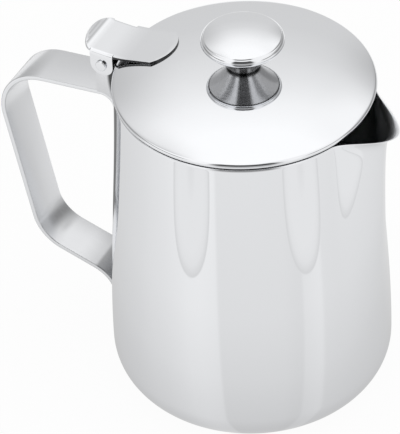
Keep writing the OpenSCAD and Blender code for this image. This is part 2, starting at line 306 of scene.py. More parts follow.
class PolishMarks:
    """Shared shader group: fine wheel marks, cloudy haze and a slight change of tint over polished sheet.

    Attributes:
        NAME: Name of the group.
        GRAIN_DETAIL: Detail of the fine marks' noise.
        HAZE_DETAIL: Detail of the haze's noise.
        HAZE_ROUGHNESS: Roughness of the haze's noise.
        CLEAR: Product of the two noises at which the surface is smoothest.
        CLOUDED: Product of the two noises at which it is dullest.
        MIX_A: Index of a Mix node's first colour socket.
        MIX_B: Index of its second colour socket.
        MIX_RESULT: Index of its colour output.
    """

    NAME = "polish_marks"
    GRAIN_DETAIL = 3.0
    HAZE_DETAIL = 4.0
    HAZE_ROUGHNESS = 0.6
    CLEAR = 0.12
    CLOUDED = 0.4
    MIX_A, MIX_B, MIX_RESULT = 6, 7, 2

    @classmethod
    def group(cls) -> bpy.types.ShaderNodeTree:
        """Builds the group once.

        Returns:
            The group's node tree.
        """
        if cls.NAME in bpy.data.node_groups:
            return bpy.data.node_groups[cls.NAME]
        tree = bpy.data.node_groups.new(cls.NAME, "ShaderNodeTree")
        sockets = tree.interface
        sockets.new_socket("Vector", in_out="INPUT", socket_type="NodeSocketVector")
        for name in ("Grain Scale", "Haze Scale", "Smooth", "Dull"):
            sockets.new_socket(name, in_out="INPUT", socket_type="NodeSocketFloat")
        for name in ("Light Tint", "Deep Tint"):
            sockets.new_socket(name, in_out="INPUT", socket_type="NodeSocketColor")
        sockets.new_socket("Color", in_out="OUTPUT", socket_type="NodeSocketColor")
        sockets.new_socket("Roughness", in_out="OUTPUT", socket_type="NodeSocketFloat")
        sockets.new_socket("Height", in_out="OUTPUT", socket_type="NodeSocketFloat")
        nodes, links = tree.nodes, tree.links
        source = nodes.new("NodeGroupInput")
        result = nodes.new("NodeGroupOutput")
        grain = nodes.new("ShaderNodeTexNoise")
        grain.inputs["Detail"].default_value = cls.GRAIN_DETAIL
        haze = nodes.new("ShaderNodeTexNoise")
        haze.inputs["Detail"].default_value = cls.HAZE_DETAIL
        haze.inputs["Roughness"].default_value = cls.HAZE_ROUGHNESS
        links.new(source.outputs["Vector"], grain.inputs["Vector"])
        links.new(source.outputs["Grain Scale"], grain.inputs["Scale"])
        links.new(source.outputs["Vector"], haze.inputs["Vector"])
        links.new(source.outputs["Haze Scale"], haze.inputs["Scale"])
        both = nodes.new("ShaderNodeMath")
        both.operation = "MULTIPLY"
        links.new(grain.outputs["Fac"], both.inputs[0])
        links.new(haze.outputs["Fac"], both.inputs[1])
        spread = nodes.new("ShaderNodeMapRange")
        spread.inputs["From Min"].default_value = cls.CLEAR
        spread.inputs["From Max"].default_value = cls.CLOUDED
        links.new(both.outputs[0], spread.inputs["Value"])
        links.new(source.outputs["Smooth"], spread.inputs["To Min"])
        links.new(source.outputs["Dull"], spread.inputs["To Max"])
        tint = nodes.new("ShaderNodeMix")
        tint.data_type = "RGBA"
        links.new(haze.outputs["Fac"], tint.inputs[0])
        links.new(source.outputs["Light Tint"], tint.inputs[cls.MIX_A])
        links.new(source.outputs["Deep Tint"], tint.inputs[cls.MIX_B])
        links.new(tint.outputs[cls.MIX_RESULT], result.inputs["Color"])
        links.new(spread.outputs["Result"], result.inputs["Roughness"])
        links.new(grain.outputs["Fac"], result.inputs["Height"])
        return tree


@dataclass(frozen=True)
class DarkPatch:
    """A darker place painted into a surface's tint, mostly painted shade.

    Attributes:
        middle: Its middle.
        weights: How much each axis counts in the distance from the middle.
        near: Distance up to which it is darkest.
        far: Distance past which the surface is clean.
        left: Share of the clean tint that is left where it is darkest.
    """

    middle: Triple
    weights: Triple
    near: float
    far: float
    left: float

    def shade(
        self, desk: NodeDesk, place: bpy.types.NodeSocket, tint: bpy.types.NodeSocket
    ) -> bpy.types.NodeSocket:
        """Wires the tint with the dark patch on it.

        Args:
            desk: Where to wire it.
            place: Place on the piece.
            tint: The clean tint.

        Returns:
            The darkened tint's socket.
        """
        off = desk.vector("SUBTRACT", place, tuple(c * MM for c in self.middle)).outputs["Vector"]
        weighed = desk.vector("MULTIPLY", off, self.weights).outputs["Vector"]
        away = desk.vector("LENGTH", weighed).outputs["Value"]
        share = desk.mix(desk.step(away, self.near * MM, self.far * MM), self.left, 1.0)
        return desk.vector("MULTIPLY", tint, share).outputs["Vector"]


@dataclass(frozen=True)
class SteelFinish:
    """A stainless steel surface.

    Attributes:
        BUMP_DEPTH: Depth of the marks at a strength of 1.
        INSIDE_STARTS: Outward share of a face's normal, times its radius, at which the inside starts.
        INSIDE_FULL: The same measure at which the inside is full.
        name: Name of its material.
        slot: Slot of the part's record that it belongs to; not used.
        light: Tint where the haze is thin.
        deep: Tint where the haze is thick.
        smooth: Roughness where the marks are faint.
        dull: Roughness where the marks are strong.
        stretch: Scale of the marks along each axis; a small one draws them out.
        grain: Scale of the fine marks, in a metre.
        haze: Scale of the haze, in a metre.
        relief: Strength of the marks' bump.
        inside: Roughness of a hollow piece's inside, or 0 where it is as the outside.
        dark_patches: Darker places painted into the tint, mostly painted shade.
    """

    BUMP_DEPTH: ClassVar[float] = 0.2
    INSIDE_STARTS: ClassVar[float] = -5.0
    INSIDE_FULL: ClassVar[float] = -20.0

    name: str
    slot: Slot
    light: Triple
    deep: Triple
    smooth: float
    dull: float
    stretch: Triple = (1.0, 1.0, 1.0)
    grain: float = 400.0
    haze: float = 30.0
    relief: float = 0.02
    inside: float = 0.0
    dark_patches: tuple[DarkPatch, ...] = ()

    def material(self) -> bpy.types.Material:
        """Builds the finish's material once.

        Returns:
            The material.
        """
        if self.name in bpy.data.materials:
            return bpy.data.materials[self.name]
        steel = bpy.data.materials.new(self.name)
        steel.use_nodes = True
        nodes, links = steel.node_tree.nodes, steel.node_tree.links
        shader = nodes["Principled BSDF"]
        shader.inputs["Metallic"].default_value = 1.0
        place = nodes.new("ShaderNodeTexCoord")
        lay = nodes.new("ShaderNodeMapping")
        lay.inputs["Scale"].default_value = self.stretch
        marks = nodes.new("ShaderNodeGroup")
        marks.node_tree = PolishMarks.group()
        marks.inputs["Grain Scale"].default_value = self.grain
        marks.inputs["Haze Scale"].default_value = self.haze
        marks.inputs["Smooth"].default_value = self.smooth
        marks.inputs["Dull"].default_value = self.dull
        marks.inputs["Light Tint"].default_value = (*self.light, 1.0)
        marks.inputs["Deep Tint"].default_value = (*self.deep, 1.0)
        bump = nodes.new("ShaderNodeBump")
        bump.inputs["Strength"].default_value = self.relief
        bump.inputs["Distance"].default_value = self.BUMP_DEPTH * MM
        links.new(place.outputs["Object"], lay.inputs["Vector"])
        links.new(lay.outputs["Vector"], marks.inputs["Vector"])
        links.new(marks.outputs["Roughness"], shader.inputs["Roughness"])
        links.new(marks.outputs["Height"], bump.inputs["Height"])
        links.new(bump.outputs["Normal"], shader.inputs["Normal"])
        desk = NodeDesk(steel.node_tree)
        tint = marks.outputs["Color"]
        for patch in self.dark_patches:
            tint = patch.shade(desk, place.outputs["Object"], tint)
        desk.feed(shader.inputs["Base Color"], tint)
        if self.inside > 0.0:
            out = desk.vector("MULTIPLY", place.outputs["Object"], (1.0, 1.0, 0.0)).outputs["Vector"]
            facing = desk.vector("DOT_PRODUCT", out, place.outputs["Normal"]).outputs["Value"]
            inwards = desk.step(facing, self.INSIDE_STARTS * MM, self.INSIDE_FULL * MM)
            dull = desk.mix(inwards, marks.outputs["Roughness"], self.inside)
            desk.feed(shader.inputs["Roughness"], dull)
        return steel


MIRROR = SteelFinish(
    "mirror_steel", Slot.POLISHED, light=(0.862, 0.871, 0.889), deep=(0.842, 0.851, 0.869),
    smooth=0.03, dull=0.06, grain=500.0, haze=22.0, relief=0.008,
)
SPUN = SteelFinish(
    "spun_steel", Slot.POLISHED, light=(0.862, 0.871, 0.889), deep=(0.846, 0.855, 0.873),
    smooth=0.018, dull=0.034, stretch=(1.0, 1.0, 0.12), grain=300.0, haze=16.0, relief=0.004, inside=0.32,
)
SATIN = SteelFinish(
    "satin_strap", Slot.SATIN, light=(0.755, 0.762, 0.777), deep=(0.71, 0.717, 0.732),
    smooth=0.20, dull=0.27, stretch=(0.06, 1.0, 0.06), grain=1400.0, haze=60.0, relief=0.02,
)
SMALL_PARTS = SteelFinish(
    "satin_fittings", Slot.SATIN, light=(0.815, 0.822, 0.838), deep=(0.755, 0.762, 0.778),
    smooth=0.14, dull=0.22, grain=900.0, haze=120.0, relief=0.02,
)
TURNED = SteelFinish(
    "turned_steel", Slot.SATIN, light=(0.68, 0.682, 0.69), deep=(0.58, 0.582, 0.59),
    smooth=0.14, dull=0.22, stretch=(0.05, 0.05, 1.0), grain=1600.0, haze=60.0, relief=0.02,
)
SHEARED = SteelFinish(
    "sheared_edge", Slot.SATIN, light=(0.80, 0.805, 0.82), deep=(0.72, 0.725, 0.74),
    smooth=0.22, dull=0.32, grain=1600.0, haze=120.0, relief=0.02,
)


class Bench:
    """Modelling steps shared by the jug's pieces, done with operators as by hand.

    Attributes:
        DOUBLES: Distance in metres up to which points are merged.
        SLIVER: Size in metres up to which faces are dissolved.
        NUDGE: Height in metres at which a new row waits to be placed.
        SHARP: Turn past which an edge is broken.
    """

    DOUBLES = 2e-6
    SLIVER = 1e-7
    NUDGE = 1e-6
    SHARP = 50.0

    @staticmethod
    def only(piece: bpy.types.Object) -> None:
        """Makes a piece the one selected and active object.

        Args:
            piece: The piece.
        """
        bpy.ops.object.select_all(action="DESELECT")
        piece.select_set(True)
        bpy.context.view_layer.objects.active = piece

    @staticmethod
    def seed(name: str, at: Vector) -> bpy.types.Object:
        """Starts a piece in edit mode as one vertex.

        Args:
            name: Name of the piece.
            at: Place of the vertex.

        Returns:
            The new object.
        """
        bpy.ops.object.select_all(action="DESELECT")
        bpy.ops.mesh.primitive_plane_add(size=MM, location=(0.0, 0.0, 0.0))
        piece = bpy.context.object
        piece.name = piece.data.name = name
        bpy.ops.object.mode_set(mode="EDIT")
        bpy.ops.mesh.select_all(action="SELECT")
        bpy.ops.mesh.merge(type="CENTER")
        bpy.ops.transform.translate(value=at)
        return piece

    @staticmethod
    def draw(points: Sequence[Vector]) -> None:
        """Extrudes the selected vertex from the first of the points through the rest."""
        for here, there in zip(points, points[1:]):
            bpy.ops.mesh.extrude_vertices_move(TRANSFORM_OT_translate={"value": there - here})

    @classmethod
    def clean(cls, outwards: bool = True) -> None:
        """Merges doubled points and turns the faces outwards.

        Args:
            outwards: Whether there are faces to turn yet.
        """
        bpy.ops.mesh.select_all(action="SELECT")
        bpy.ops.mesh.remove_doubles(threshold=cls.DOUBLES)
        bpy.ops.mesh.dissolve_degenerate(threshold=cls.SLIVER)
        bpy.ops.mesh.select_all(action="SELECT")
        if outwards:
            bpy.ops.mesh.normals_make_consistent(inside=False)

    @classmethod
    def turn(cls, name: str, profile: Sequence[Point], steps: int) -> bpy.types.Object:
        """Spins a profile round the jug's axis.

        Args:
            name: Name of the piece.
            profile: Section as (radius, height) in millimetres, round the whole sheet.
            steps: Steps in the full turn.

        Returns:
            The turned piece.
        """
        points = [Vector((r * MM, 0.0, z * MM)) for r, z in profile]
        piece = cls.seed(name, points[0])
        cls.draw(points)
        bpy.ops.mesh.select_all(action="SELECT")
        bpy.ops.mesh.spin(steps=steps, angle=math.tau, center=(0.0, 0.0, 0.0), axis=(0.0, 0.0, 1.0))
        cls.clean()
        bpy.ops.object.mode_set(mode="OBJECT")
        return piece

    @classmethod
    def strip(cls, name: str, path: Sequence[Point], width: float) -> bpy.types.Object:
        """Draws a side view and extrudes it across the jug's width.

        Args:
            name: Name of the piece.
            path: Side view as (x, z) in millimetres.
            width: Width along Y in millimetres.

        Returns:
            The strip, still without thickness.
        """
        points = [Vector((x * MM, -width / 2 * MM, z * MM)) for x, z in path]
        piece = cls.seed(name, points[0])
        cls.draw(points)
        bpy.ops.mesh.select_all(action="SELECT")
        bpy.ops.mesh.extrude_region_move(TRANSFORM_OT_translate={"value": (0.0, width * MM, 0.0)})
        cls.clean()
        bpy.ops.object.mode_set(mode="OBJECT")
        return piece

    @classmethod
    def sheet(
        cls, name: str, outline: Sequence[Point], cuts: Sequence[float], slits: Sequence[float]
    ) -> bpy.types.Object:
        """Draws a flat blank in plan and cuts it across and along at given places, ready for bending.

        Args:
            name: Name of the piece.
            outline: Plan as (x, y) in millimetres, not closed.
            cuts: Places along X of the cuts across, in millimetres.
            slits: Places along Y of the cuts along the blank, in millimetres.

        Returns:
            The flat blank at z = 0.
        """
        points = [Vector((x * MM, y * MM, 0.0)) for x, y in [*outline, outline[0]]]
        piece = cls.seed(name, points[0])
        cls.draw(points)
        cls.clean(outwards=False)
        bpy.ops.mesh.edge_face_add()
        planes = [((x, 0.0), (1.0, 0.0)) for x in cuts] + [((0.0, y), (0.0, 1.0)) for y in slits]
        for (x, y), (along, across) in planes:
            bpy.ops.mesh.select_all(action="SELECT")
            bpy.ops.mesh.bisect(plane_co=(x * MM, y * MM, 0.0), plane_no=(along, across, 0.0))
        cls.clean()
        bpy.ops.object.mode_set(mode="OBJECT")
        return piece

    @classmethod
    def plate(cls, name: str, outline: Sequence[Point], middle: float, thickness: float) -> bpy.types.Object:
        """Draws a side view as a face and extrudes it to a flat plate.

        Args:
            name: Name of the piece.
            outline: Side view as (x, z) in millimetres, not closed.
            middle: Place of the plate's middle along Y in millimetres.
            thickness: Thickness in millimetres.

        Returns:
            The plate.
        """
        y = middle - thickness / 2
        points = [Vector((x * MM, y * MM, z * MM)) for x, z in [*outline, outline[0]]]
        piece = cls.seed(name, points[0])
        cls.draw(points)
        cls.clean(outwards=False)
        bpy.ops.mesh.edge_face_add()
        bpy.ops.mesh.extrude_region_move(TRANSFORM_OT_translate={"value": (0.0, thickness * MM, 0.0)})
        cls.clean()
        bpy.ops.object.mode_set(mode="OBJECT")
        return piece

    @classmethod
    def join(cls, pieces: Sequence[bpy.types.Object]) -> bpy.types.Object:
        """Joins pieces into the first of them.

        Args:
            pieces: The pieces.

        Returns:
            The first piece, with the rest in it.
        """
        cls.only(pieces[0])
        for piece in pieces:
            piece.select_set(True)
        bpy.ops.object.join()
        return pieces[0]

    @classmethod
    def lug(
        cls,
        piece: bpy.types.Object,
        share: Callable[[Vector], float | None],
        rows: Sequence[Callable[[float, Vector], Vector]],
    ) -> None:
        """Folds a lug out of a blank's edge, row by row.

        Args:
            piece: The blank.
            share: Share of a vertex along the folded edge, or None off that edge.
            rows: For each new row, where the column at a share goes, given its last place.
        """
        cls.only(piece)
        bpy.ops.object.mode_set(mode="EDIT")
        bpy.ops.mesh.select_mode(type="EDGE")
        bpy.ops.mesh.select_all(action="DESELECT")
        bpy.ops.object.mode_set(mode="OBJECT")
        mesh = piece.data
        shares = {v.index: share(v.co) for v in mesh.vertices}
        columns: list[tuple[Vector, float]] = []
        for edge in mesh.edges:
            edge.select = all(shares[i] is not None for i in edge.vertices)
            if edge.select:
                columns += [(mesh.vertices[i].co.copy(), shares[i]) for i in edge.vertices]
        for row in rows:
            bpy.ops.object.mode_set(mode="EDIT")
            bpy.ops.mesh.extrude_edges_move(TRANSFORM_OT_translate={"value": (0.0, 0.0, cls.NUDGE)})
            bpy.ops.object.mode_set(mode="OBJECT")
            grown: list[tuple[Vector, float]] = []
            for vertex in (v for v in mesh.vertices if v.select):
                last, along = min(columns, key=lambda c, at=vertex.co: (c[0] - at).length_squared)
                vertex.co = row(along, last)
                grown.append((vertex.co.copy(), along))
            columns = grown
        bpy.ops.object.mode_set(mode="EDIT")
        bpy.ops.mesh.select_mode(type="VERT")
        bpy.ops.object.mode_set(mode="OBJECT")

    @classmethod
    def apply(cls, piece: bpy.types.Object, kind: str, **settings: object) -> None:
        """Adds a modifier with settings and applies it.

        Args:
            piece: The piece.
            kind: Blender's modifier type.
            settings: Values of the modifier.
        """
        modifier = piece.modifiers.new(kind.title(), kind)
        for name, value in settings.items():
            setattr(modifier, name, value)
        cls.only(piece)
        bpy.ops.object.modifier_apply(modifier=modifier.name)

    @classmethod
    def thicken(cls, piece: bpy.types.Object, thickness: float, edge: float, under: bool = False) -> None:
        """Gives a sheet its thickness about its middle and breaks its edges; its rim is a surface of its own.

        Args:
            piece: The sheet.
            thickness: Thickness in millimetres.
            edge: Width of the broken edge in millimetres.
            under: Whether the sheet is turned over, so that its new side below shares the rim's surface.
        """
        for _ in ("sheet", "rim"):
            piece.data.materials.append(None)
        if under:
            cls.only(piece)
            bpy.ops.object.mode_set(mode="EDIT")
            bpy.ops.mesh.select_all(action="SELECT")
            bpy.ops.mesh.flip_normals()
            bpy.ops.object.mode_set(mode="OBJECT")
        cls.apply(
            piece, "SOLIDIFY", thickness=thickness * MM, offset=0.0, use_even_offset=True,
            material_offset_rim=1, material_offset=1 if under else 0,
        )
        cls.break_edges(piece, edge)

    @classmethod
    def break_edges(cls, piece: bpy.types.Object, edge: float, segments: int = 3) -> None:
        """Rounds the sharp edges of a piece.

        Args:
            piece: The piece.
            edge: Width of the rounding in millimetres.
            segments: Steps in the rounding.
        """
        cls.apply(
            piece, "BEVEL", width=edge * MM, segments=segments, limit_method="ANGLE",
            angle_limit=math.radians(cls.SHARP), harden_normals=False, use_clamp_overlap=True, material=0,
        )

    @classmethod
    def settle(
        cls, piece: bpy.types.Object, body: Body, node: str, *finishes: SteelFinish, angle: float = 38.0
    ) -> None:
        """Smooths and dresses a piece and puts it in its CAD node's stead.

        Args:
            piece: The finished mesh.
            body: Body that carries it.
            node: CAD node that it stands for.
            *finishes: Its surface, then that of its rim if it has one.
            angle: Sharpest turn, in degrees, that is still shaded smooth.
        """
        cls.only(piece)
        bpy.ops.object.shade_smooth_by_angle(angle=math.radians(angle))
        while len(piece.data.materials) < len(finishes):
            piece.data.materials.append(None)
        for place, finish in enumerate(finishes):
            piece.data.materials[place] = finish.material()
        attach(piece, body.value)
        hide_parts(node)
        log.info("%s: %d faces on %s", piece.name, len(piece.data.polygons), body.value)


@dataclass
class JugBody:
    """Drawn jug with a rounded bottom edge and a spout pulled out of its wall.

    Attributes:
        height: Height of the mouth.
        belly_r: Outer radius of the belly.
        mouth_r: Outer radius of the mouth.
        bottom_r: Radius of the rounded bottom edge.
        wall: Thickness of the sheet.
        belly_rise: Length of the wall curve's tangent at the belly.
        neck_r: Radius of the wall curve's control point below the mouth.
        neck_rise: Depth of that point.
        spout_reach: Reach of the spout's keel past the mouth.
        lip_flare: Part of the reach that flares near the lip.
        lip_flare_h: Depth over which the flare dies away.
        lip_curl: Part of the reach that curls at the lip's very edge.
        lip_curl_h: Depth over which the curl dies away.
        lip_drop: Droop of the lip on the keel.
        droop_h: Depth over which the droop dies away.
        spout_h: Depth of the spout below the mouth.
        spout_half_angle: Half of the spout's width round the jug.
        lip_soft: Roundness of the keel at the lip.
        throat_soft: Roundness of the keel at the spout's foot.
        vee_power: Power of the spout's section, above 1 for hollow flanks.
        fade_power: Power of the swell's fade downwards.
        rim_ease: Depth of the rounded rim below the height.
        rim_clear: Room between the wall's last point and the rim's rounding.
        axis_clear: Radius round the axis that the spout leaves alone.
        wall_steps: Steps along the wall.
        wall_crowding: Power that crowds those steps towards the mouth.
        flat_rings: Rings of the base and the floor, as shares of the base's radius.
        halvings: Halvings in the search for a height on the wall.
        smooth_angle: Sharpest turn that is shaded smooth.
        steps: Steps in the full turn.
    """

    height: float = 138.3
    belly_r: float = 55.8
    mouth_r: float = 49.4
    bottom_r: float = 16.0
    wall: float = 0.8
    belly_rise: float = 37.0
    neck_r: float = 50.8
    neck_rise: float = 47.0
    spout_reach: float = 14.9
    lip_flare: float = 3.6
    lip_flare_h: float = 12.0
    lip_curl: float = 4.6
    lip_curl_h: float = 2.4
    lip_drop: float = 2.8
    droop_h: float = 12.0
    spout_h: float = 105.0
    spout_half_angle: float = 23.6
    lip_soft: float = 0.31
    throat_soft: float = 1.42
    vee_power: float = 1.66
    fade_power: float = 0.8
    rim_ease: float = 0.3
    rim_clear: float = 0.05
    axis_clear: float = 1.0
    wall_steps: int = 50
    wall_crowding: float = 1.7
    flat_rings: tuple[float, ...] = (0.0, 0.33, 0.66)
    halvings: int = 40
    smooth_angle: float = 60.0
    steps: int = 288

    @property
    def base_r(self) -> float:
        """Radius of the flat base."""
        return self.belly_r - self.bottom_r

    def curve(self) -> list[Point]:
        """Gives the control points of the wall.

        Returns:
            Points as (radius, height) from the belly to the mouth.
        """
        return [
            (self.belly_r, self.bottom_r),
            (self.belly_r, self.bottom_r + self.belly_rise),
            (self.neck_r, self.height - self.neck_rise),
            (self.mouth_r, self.height),
        ]

    def wall_r(self, z: float) -> float:
        """Gives the outer radius of the wall away from the spout.

        Args:
            z: Height above the base.

        Returns:
            The radius.
        """
        if z < self.bottom_r:
            return self.base_r + math.sqrt(max(0.0, self.bottom_r**2 - (self.bottom_r - z) ** 2))
        low, high = 0.0, 1.0
        for _ in range(self.halvings):
            middle = (low + high) / 2
            if bezier(self.curve(), middle)[1] < z:
                low = middle
            else:
                high = middle
        return bezier(self.curve(), low)[0]

    def profile(self) -> list[Point]:
        """Gives the section of the sheet, with its wall's points crowded towards the mouth.

        Returns:
            Points as (radius, height): base, outer wall, rounded rim, inner wall and floor.
        """
        half = self.wall / 2
        rim_z = self.height - self.rim_ease - half
        along = [1.0 - (1.0 - i / self.wall_steps) ** self.wall_crowding for i in range(1, self.wall_steps)]
        curve = [bezier(self.curve(), t) for t in along]
        wall = [(r, z) for r, z in curve if z < rim_z - self.rim_clear]
        outer = arc((self.base_r, self.bottom_r), self.bottom_r, -90, 90, steps=18) + wall
        rim = arc((self.mouth_r - half, rim_z), half, 0, 180, steps=8)
        inner = [(r - self.wall, z) for r, z in reversed(wall)]
        inner += arc((self.base_r, self.bottom_r), self.bottom_r - self.wall, 0, -90, steps=10)
        base = [(self.base_r * s, 0.0) for s in self.flat_rings]
        floor = [(self.base_r * s, self.wall) for s in reversed(self.flat_rings)]
        return base + outer + rim + inner + floor

    def vee(self, angle: float, soft: float) -> float:
        """Gives the share of the spout's full reach at an angle off its keel.

        Args:
            angle: Angle from the keel in degrees.
            soft: How rounded the keel is.

        Returns:
            1 on the keel, 0 where the spout has run out.
        """
        share = math.hypot(angle / self.spout_half_angle, soft) - soft
        share /= math.hypot(1.0, soft) - soft
        return (1.0 - share) ** self.vee_power if share < 1.0 else 0.0

    def reach(self, down: float) -> float:
        """Gives the reach of the spout's keel past the wall.

        Args:
            down: Depth below the rim.

        Returns:
            The reach, which swells slowly, flares towards the lip and curls at its very edge.
        """
        u = min(1.0, down / self.spout_h)
        swell = self.spout_reach - self.lip_flare - self.lip_curl
        return (
            swell * (1.0 - u * u * (3.0 - 2.0 * u)) ** self.fade_power
            + self.lip_flare * math.exp(-down / self.lip_flare_h)
            + self.lip_curl * math.exp(-down / self.lip_curl_h)
        )

    def pull_spout(self, piece: bpy.types.Object) -> None:
        """Pulls the spout out of the turned wall, which no single operator does.

        Args:
            piece: The turned jug.
        """
        for vertex in piece.data.vertices:
            x, y, z = vertex.co / MM
            r = math.hypot(x, y)
            angle = abs(math.degrees(math.atan2(y, x)))
            down = self.height - z
            if r < self.axis_clear or angle >= self.spout_half_angle or down >= self.spout_h:
                continue
            u = down / self.spout_h
            soft = self.lip_soft + (self.throat_soft - self.lip_soft) * u
            grown = (r + self.reach(down) * self.vee(angle, soft)) / r
            sunk = self.lip_drop * self.vee(angle, self.lip_soft) * math.exp(-down / self.droop_h)
            vertex.co = Vector((x * grown, y * grown, z - sunk)) * MM

    def build(self) -> None:
        """Models and dresses the jug."""
        piece = Bench.turn("polished_jug", self.profile(), self.steps)
        self.pull_spout(piece)
        Bench.settle(piece, Body.JUG, "jug_body", SPUN, angle=self.smooth_angle)


@dataclass
class StrapHandle:
    """Flat strap bent into the handle, with both feet on the wall.

    Attributes:
        jug: Jug that it is welded to.
        width: Width of the strap.
        thickness: Thickness of the strap.
        drop: Depth of its top face below the mouth, at the pin.
        fall: Slope of the top run down to the grip.
        pin_out: Distance of the hinge pin outside the mouth.
        grip_reach_top: Reach of the grip's upper corner past the mouth.
        grip_reach_low: Reach of the grip's lower corner past the belly.
        grip_low_h: Height of the grip's lower corner above the foot's bend.
        foot_bend_h: Height of the foot's bend above the bottom edge.
        bends: Bend radii at the upper root, the grip's two corners and the foot.
        root_len: Length of the upper foot below its bend.
        foot_wrap: Turn of the lower foot round the bottom edge.
        seat: Depth of the feet in the wall.
        edge_break: Width of the broken edges.
        weld: Place of the lower weld as (x, z).
        weld_reach: Distances from it at which the dark tint starts to fade and ends.
        weld_left: Share of the clean tint in the dark.
        foot_dim_reach: The same distances for the paler tint round it.
        foot_dim_left: Share of the clean tint there.
        bend_steps: Steps in each bend.
    """

    jug: JugBody
    width: float = 18.6
    thickness: float = 2.0
    drop: float = 14.0
    fall: float = 4.2
    pin_out: float = 5.8
    grip_reach_top: float = 56.6
    grip_reach_low: float = 34.5
    grip_low_h: float = 11.1
    foot_bend_h: float = 11.1
    bends: tuple[float, float, float, float] = (6.0, 20.0, 16.5, 13.6)
    root_len: float = 22.0
    foot_wrap: float = 38.0
    seat: float = 0.35
    edge_break: float = 0.35
    weld: Point = (-56.0, 24.0)
    weld_reach: Point = (10.8, 12.4)
    weld_left: float = 0.57
    foot_dim_reach: Point = (9.0, 21.0)
    foot_dim_left: float = 0.74
    bend_steps: int = 24

    @property
    def pin_x(self) -> float:
        """Place of the hinge pin along X."""
        return -(self.jug.mouth_r + self.pin_out)

    @property
    def top(self) -> float:
        """Height of the strap's top below the pin."""
        return self.jug.height - self.drop

    def top_face(self, x: float) -> float:
        """Height of the top run's upper face at x."""
        return self.top + (x - self.pin_x) * math.tan(math.radians(self.fall))

    def top_mid(self, x: float) -> float:
        """Height of the top run's middle at x."""
        return self.top_face(x) - self.thickness / 2 / math.cos(math.radians(self.fall))

    @property
    def root_x(self) -> float:
        """Place of the upper root's bend along X."""
        return -(self.jug.wall_r(self.top - self.bends[0]) + self.thickness / 2 - self.seat)

    def path(self) -> list[Point]:
        """Gives the middle line of the strap.

        Returns:
            Points as (x, z) from its upper foot to its lower one.
        """
        jug, off = self.jug, self.thickness / 2 - self.seat
        root_z = self.top - self.bends[0] - self.root_len
        grip_x = -(jug.mouth_r + self.grip_reach_top)
        foot_z = jug.bottom_r + self.foot_bend_h
        foot_x = -(jug.belly_r + off)
        corners = [
            (-(jug.wall_r(root_z) + off), root_z, 0.0),
            (self.root_x, self.top_mid(self.root_x), self.bends[0]),
            (grip_x, self.top_mid(grip_x), self.bends[1]),
            (-(jug.belly_r + self.grip_reach_low), foot_z + self.grip_low_h, self.bends[2]),
            (foot_x, foot_z, self.bends[3]),
            (foot_x, jug.bottom_r, 0.0),
        ]
        wrap = arc((-jug.base_r, jug.bottom_r), jug.bottom_r + off, 180, self.foot_wrap, steps=12)
        return bent_path(corners, self.bend_steps) + wrap[1:]

    def foot_darkening(self, reach: Point, left: float) -> DarkPatch:
        """Gives a darker tint round the lower foot, the same across the strap's width.

        Args:
            reach: Distance at which it starts to fade and at which it ends.
            left: Share of the clean tint that is left at the weld.

        Returns:
            The tint.
        """
        return DarkPatch((self.weld[0], 0.0, self.weld[1]), (1.0, 0.0, 1.0), *reach, left)

    def build(self) -> None:
        """Models and dresses the strap."""
        piece = Bench.strip("strap_handle", self.path(), self.width)
        Bench.thicken(piece, self.thickness, self.edge_break)
        # The strap is painted darker round its lower foot.
        weld = self.foot_darkening(self.weld_reach, self.weld_left)
        foot_dim = self.foot_darkening(self.foot_dim_reach, self.foot_dim_left)
        face = replace(SATIN, name="satin_dark_foot", dark_patches=(weld, foot_dim))
        Bench.settle(piece, Body.JUG, "handle_strap", face, MIRROR)


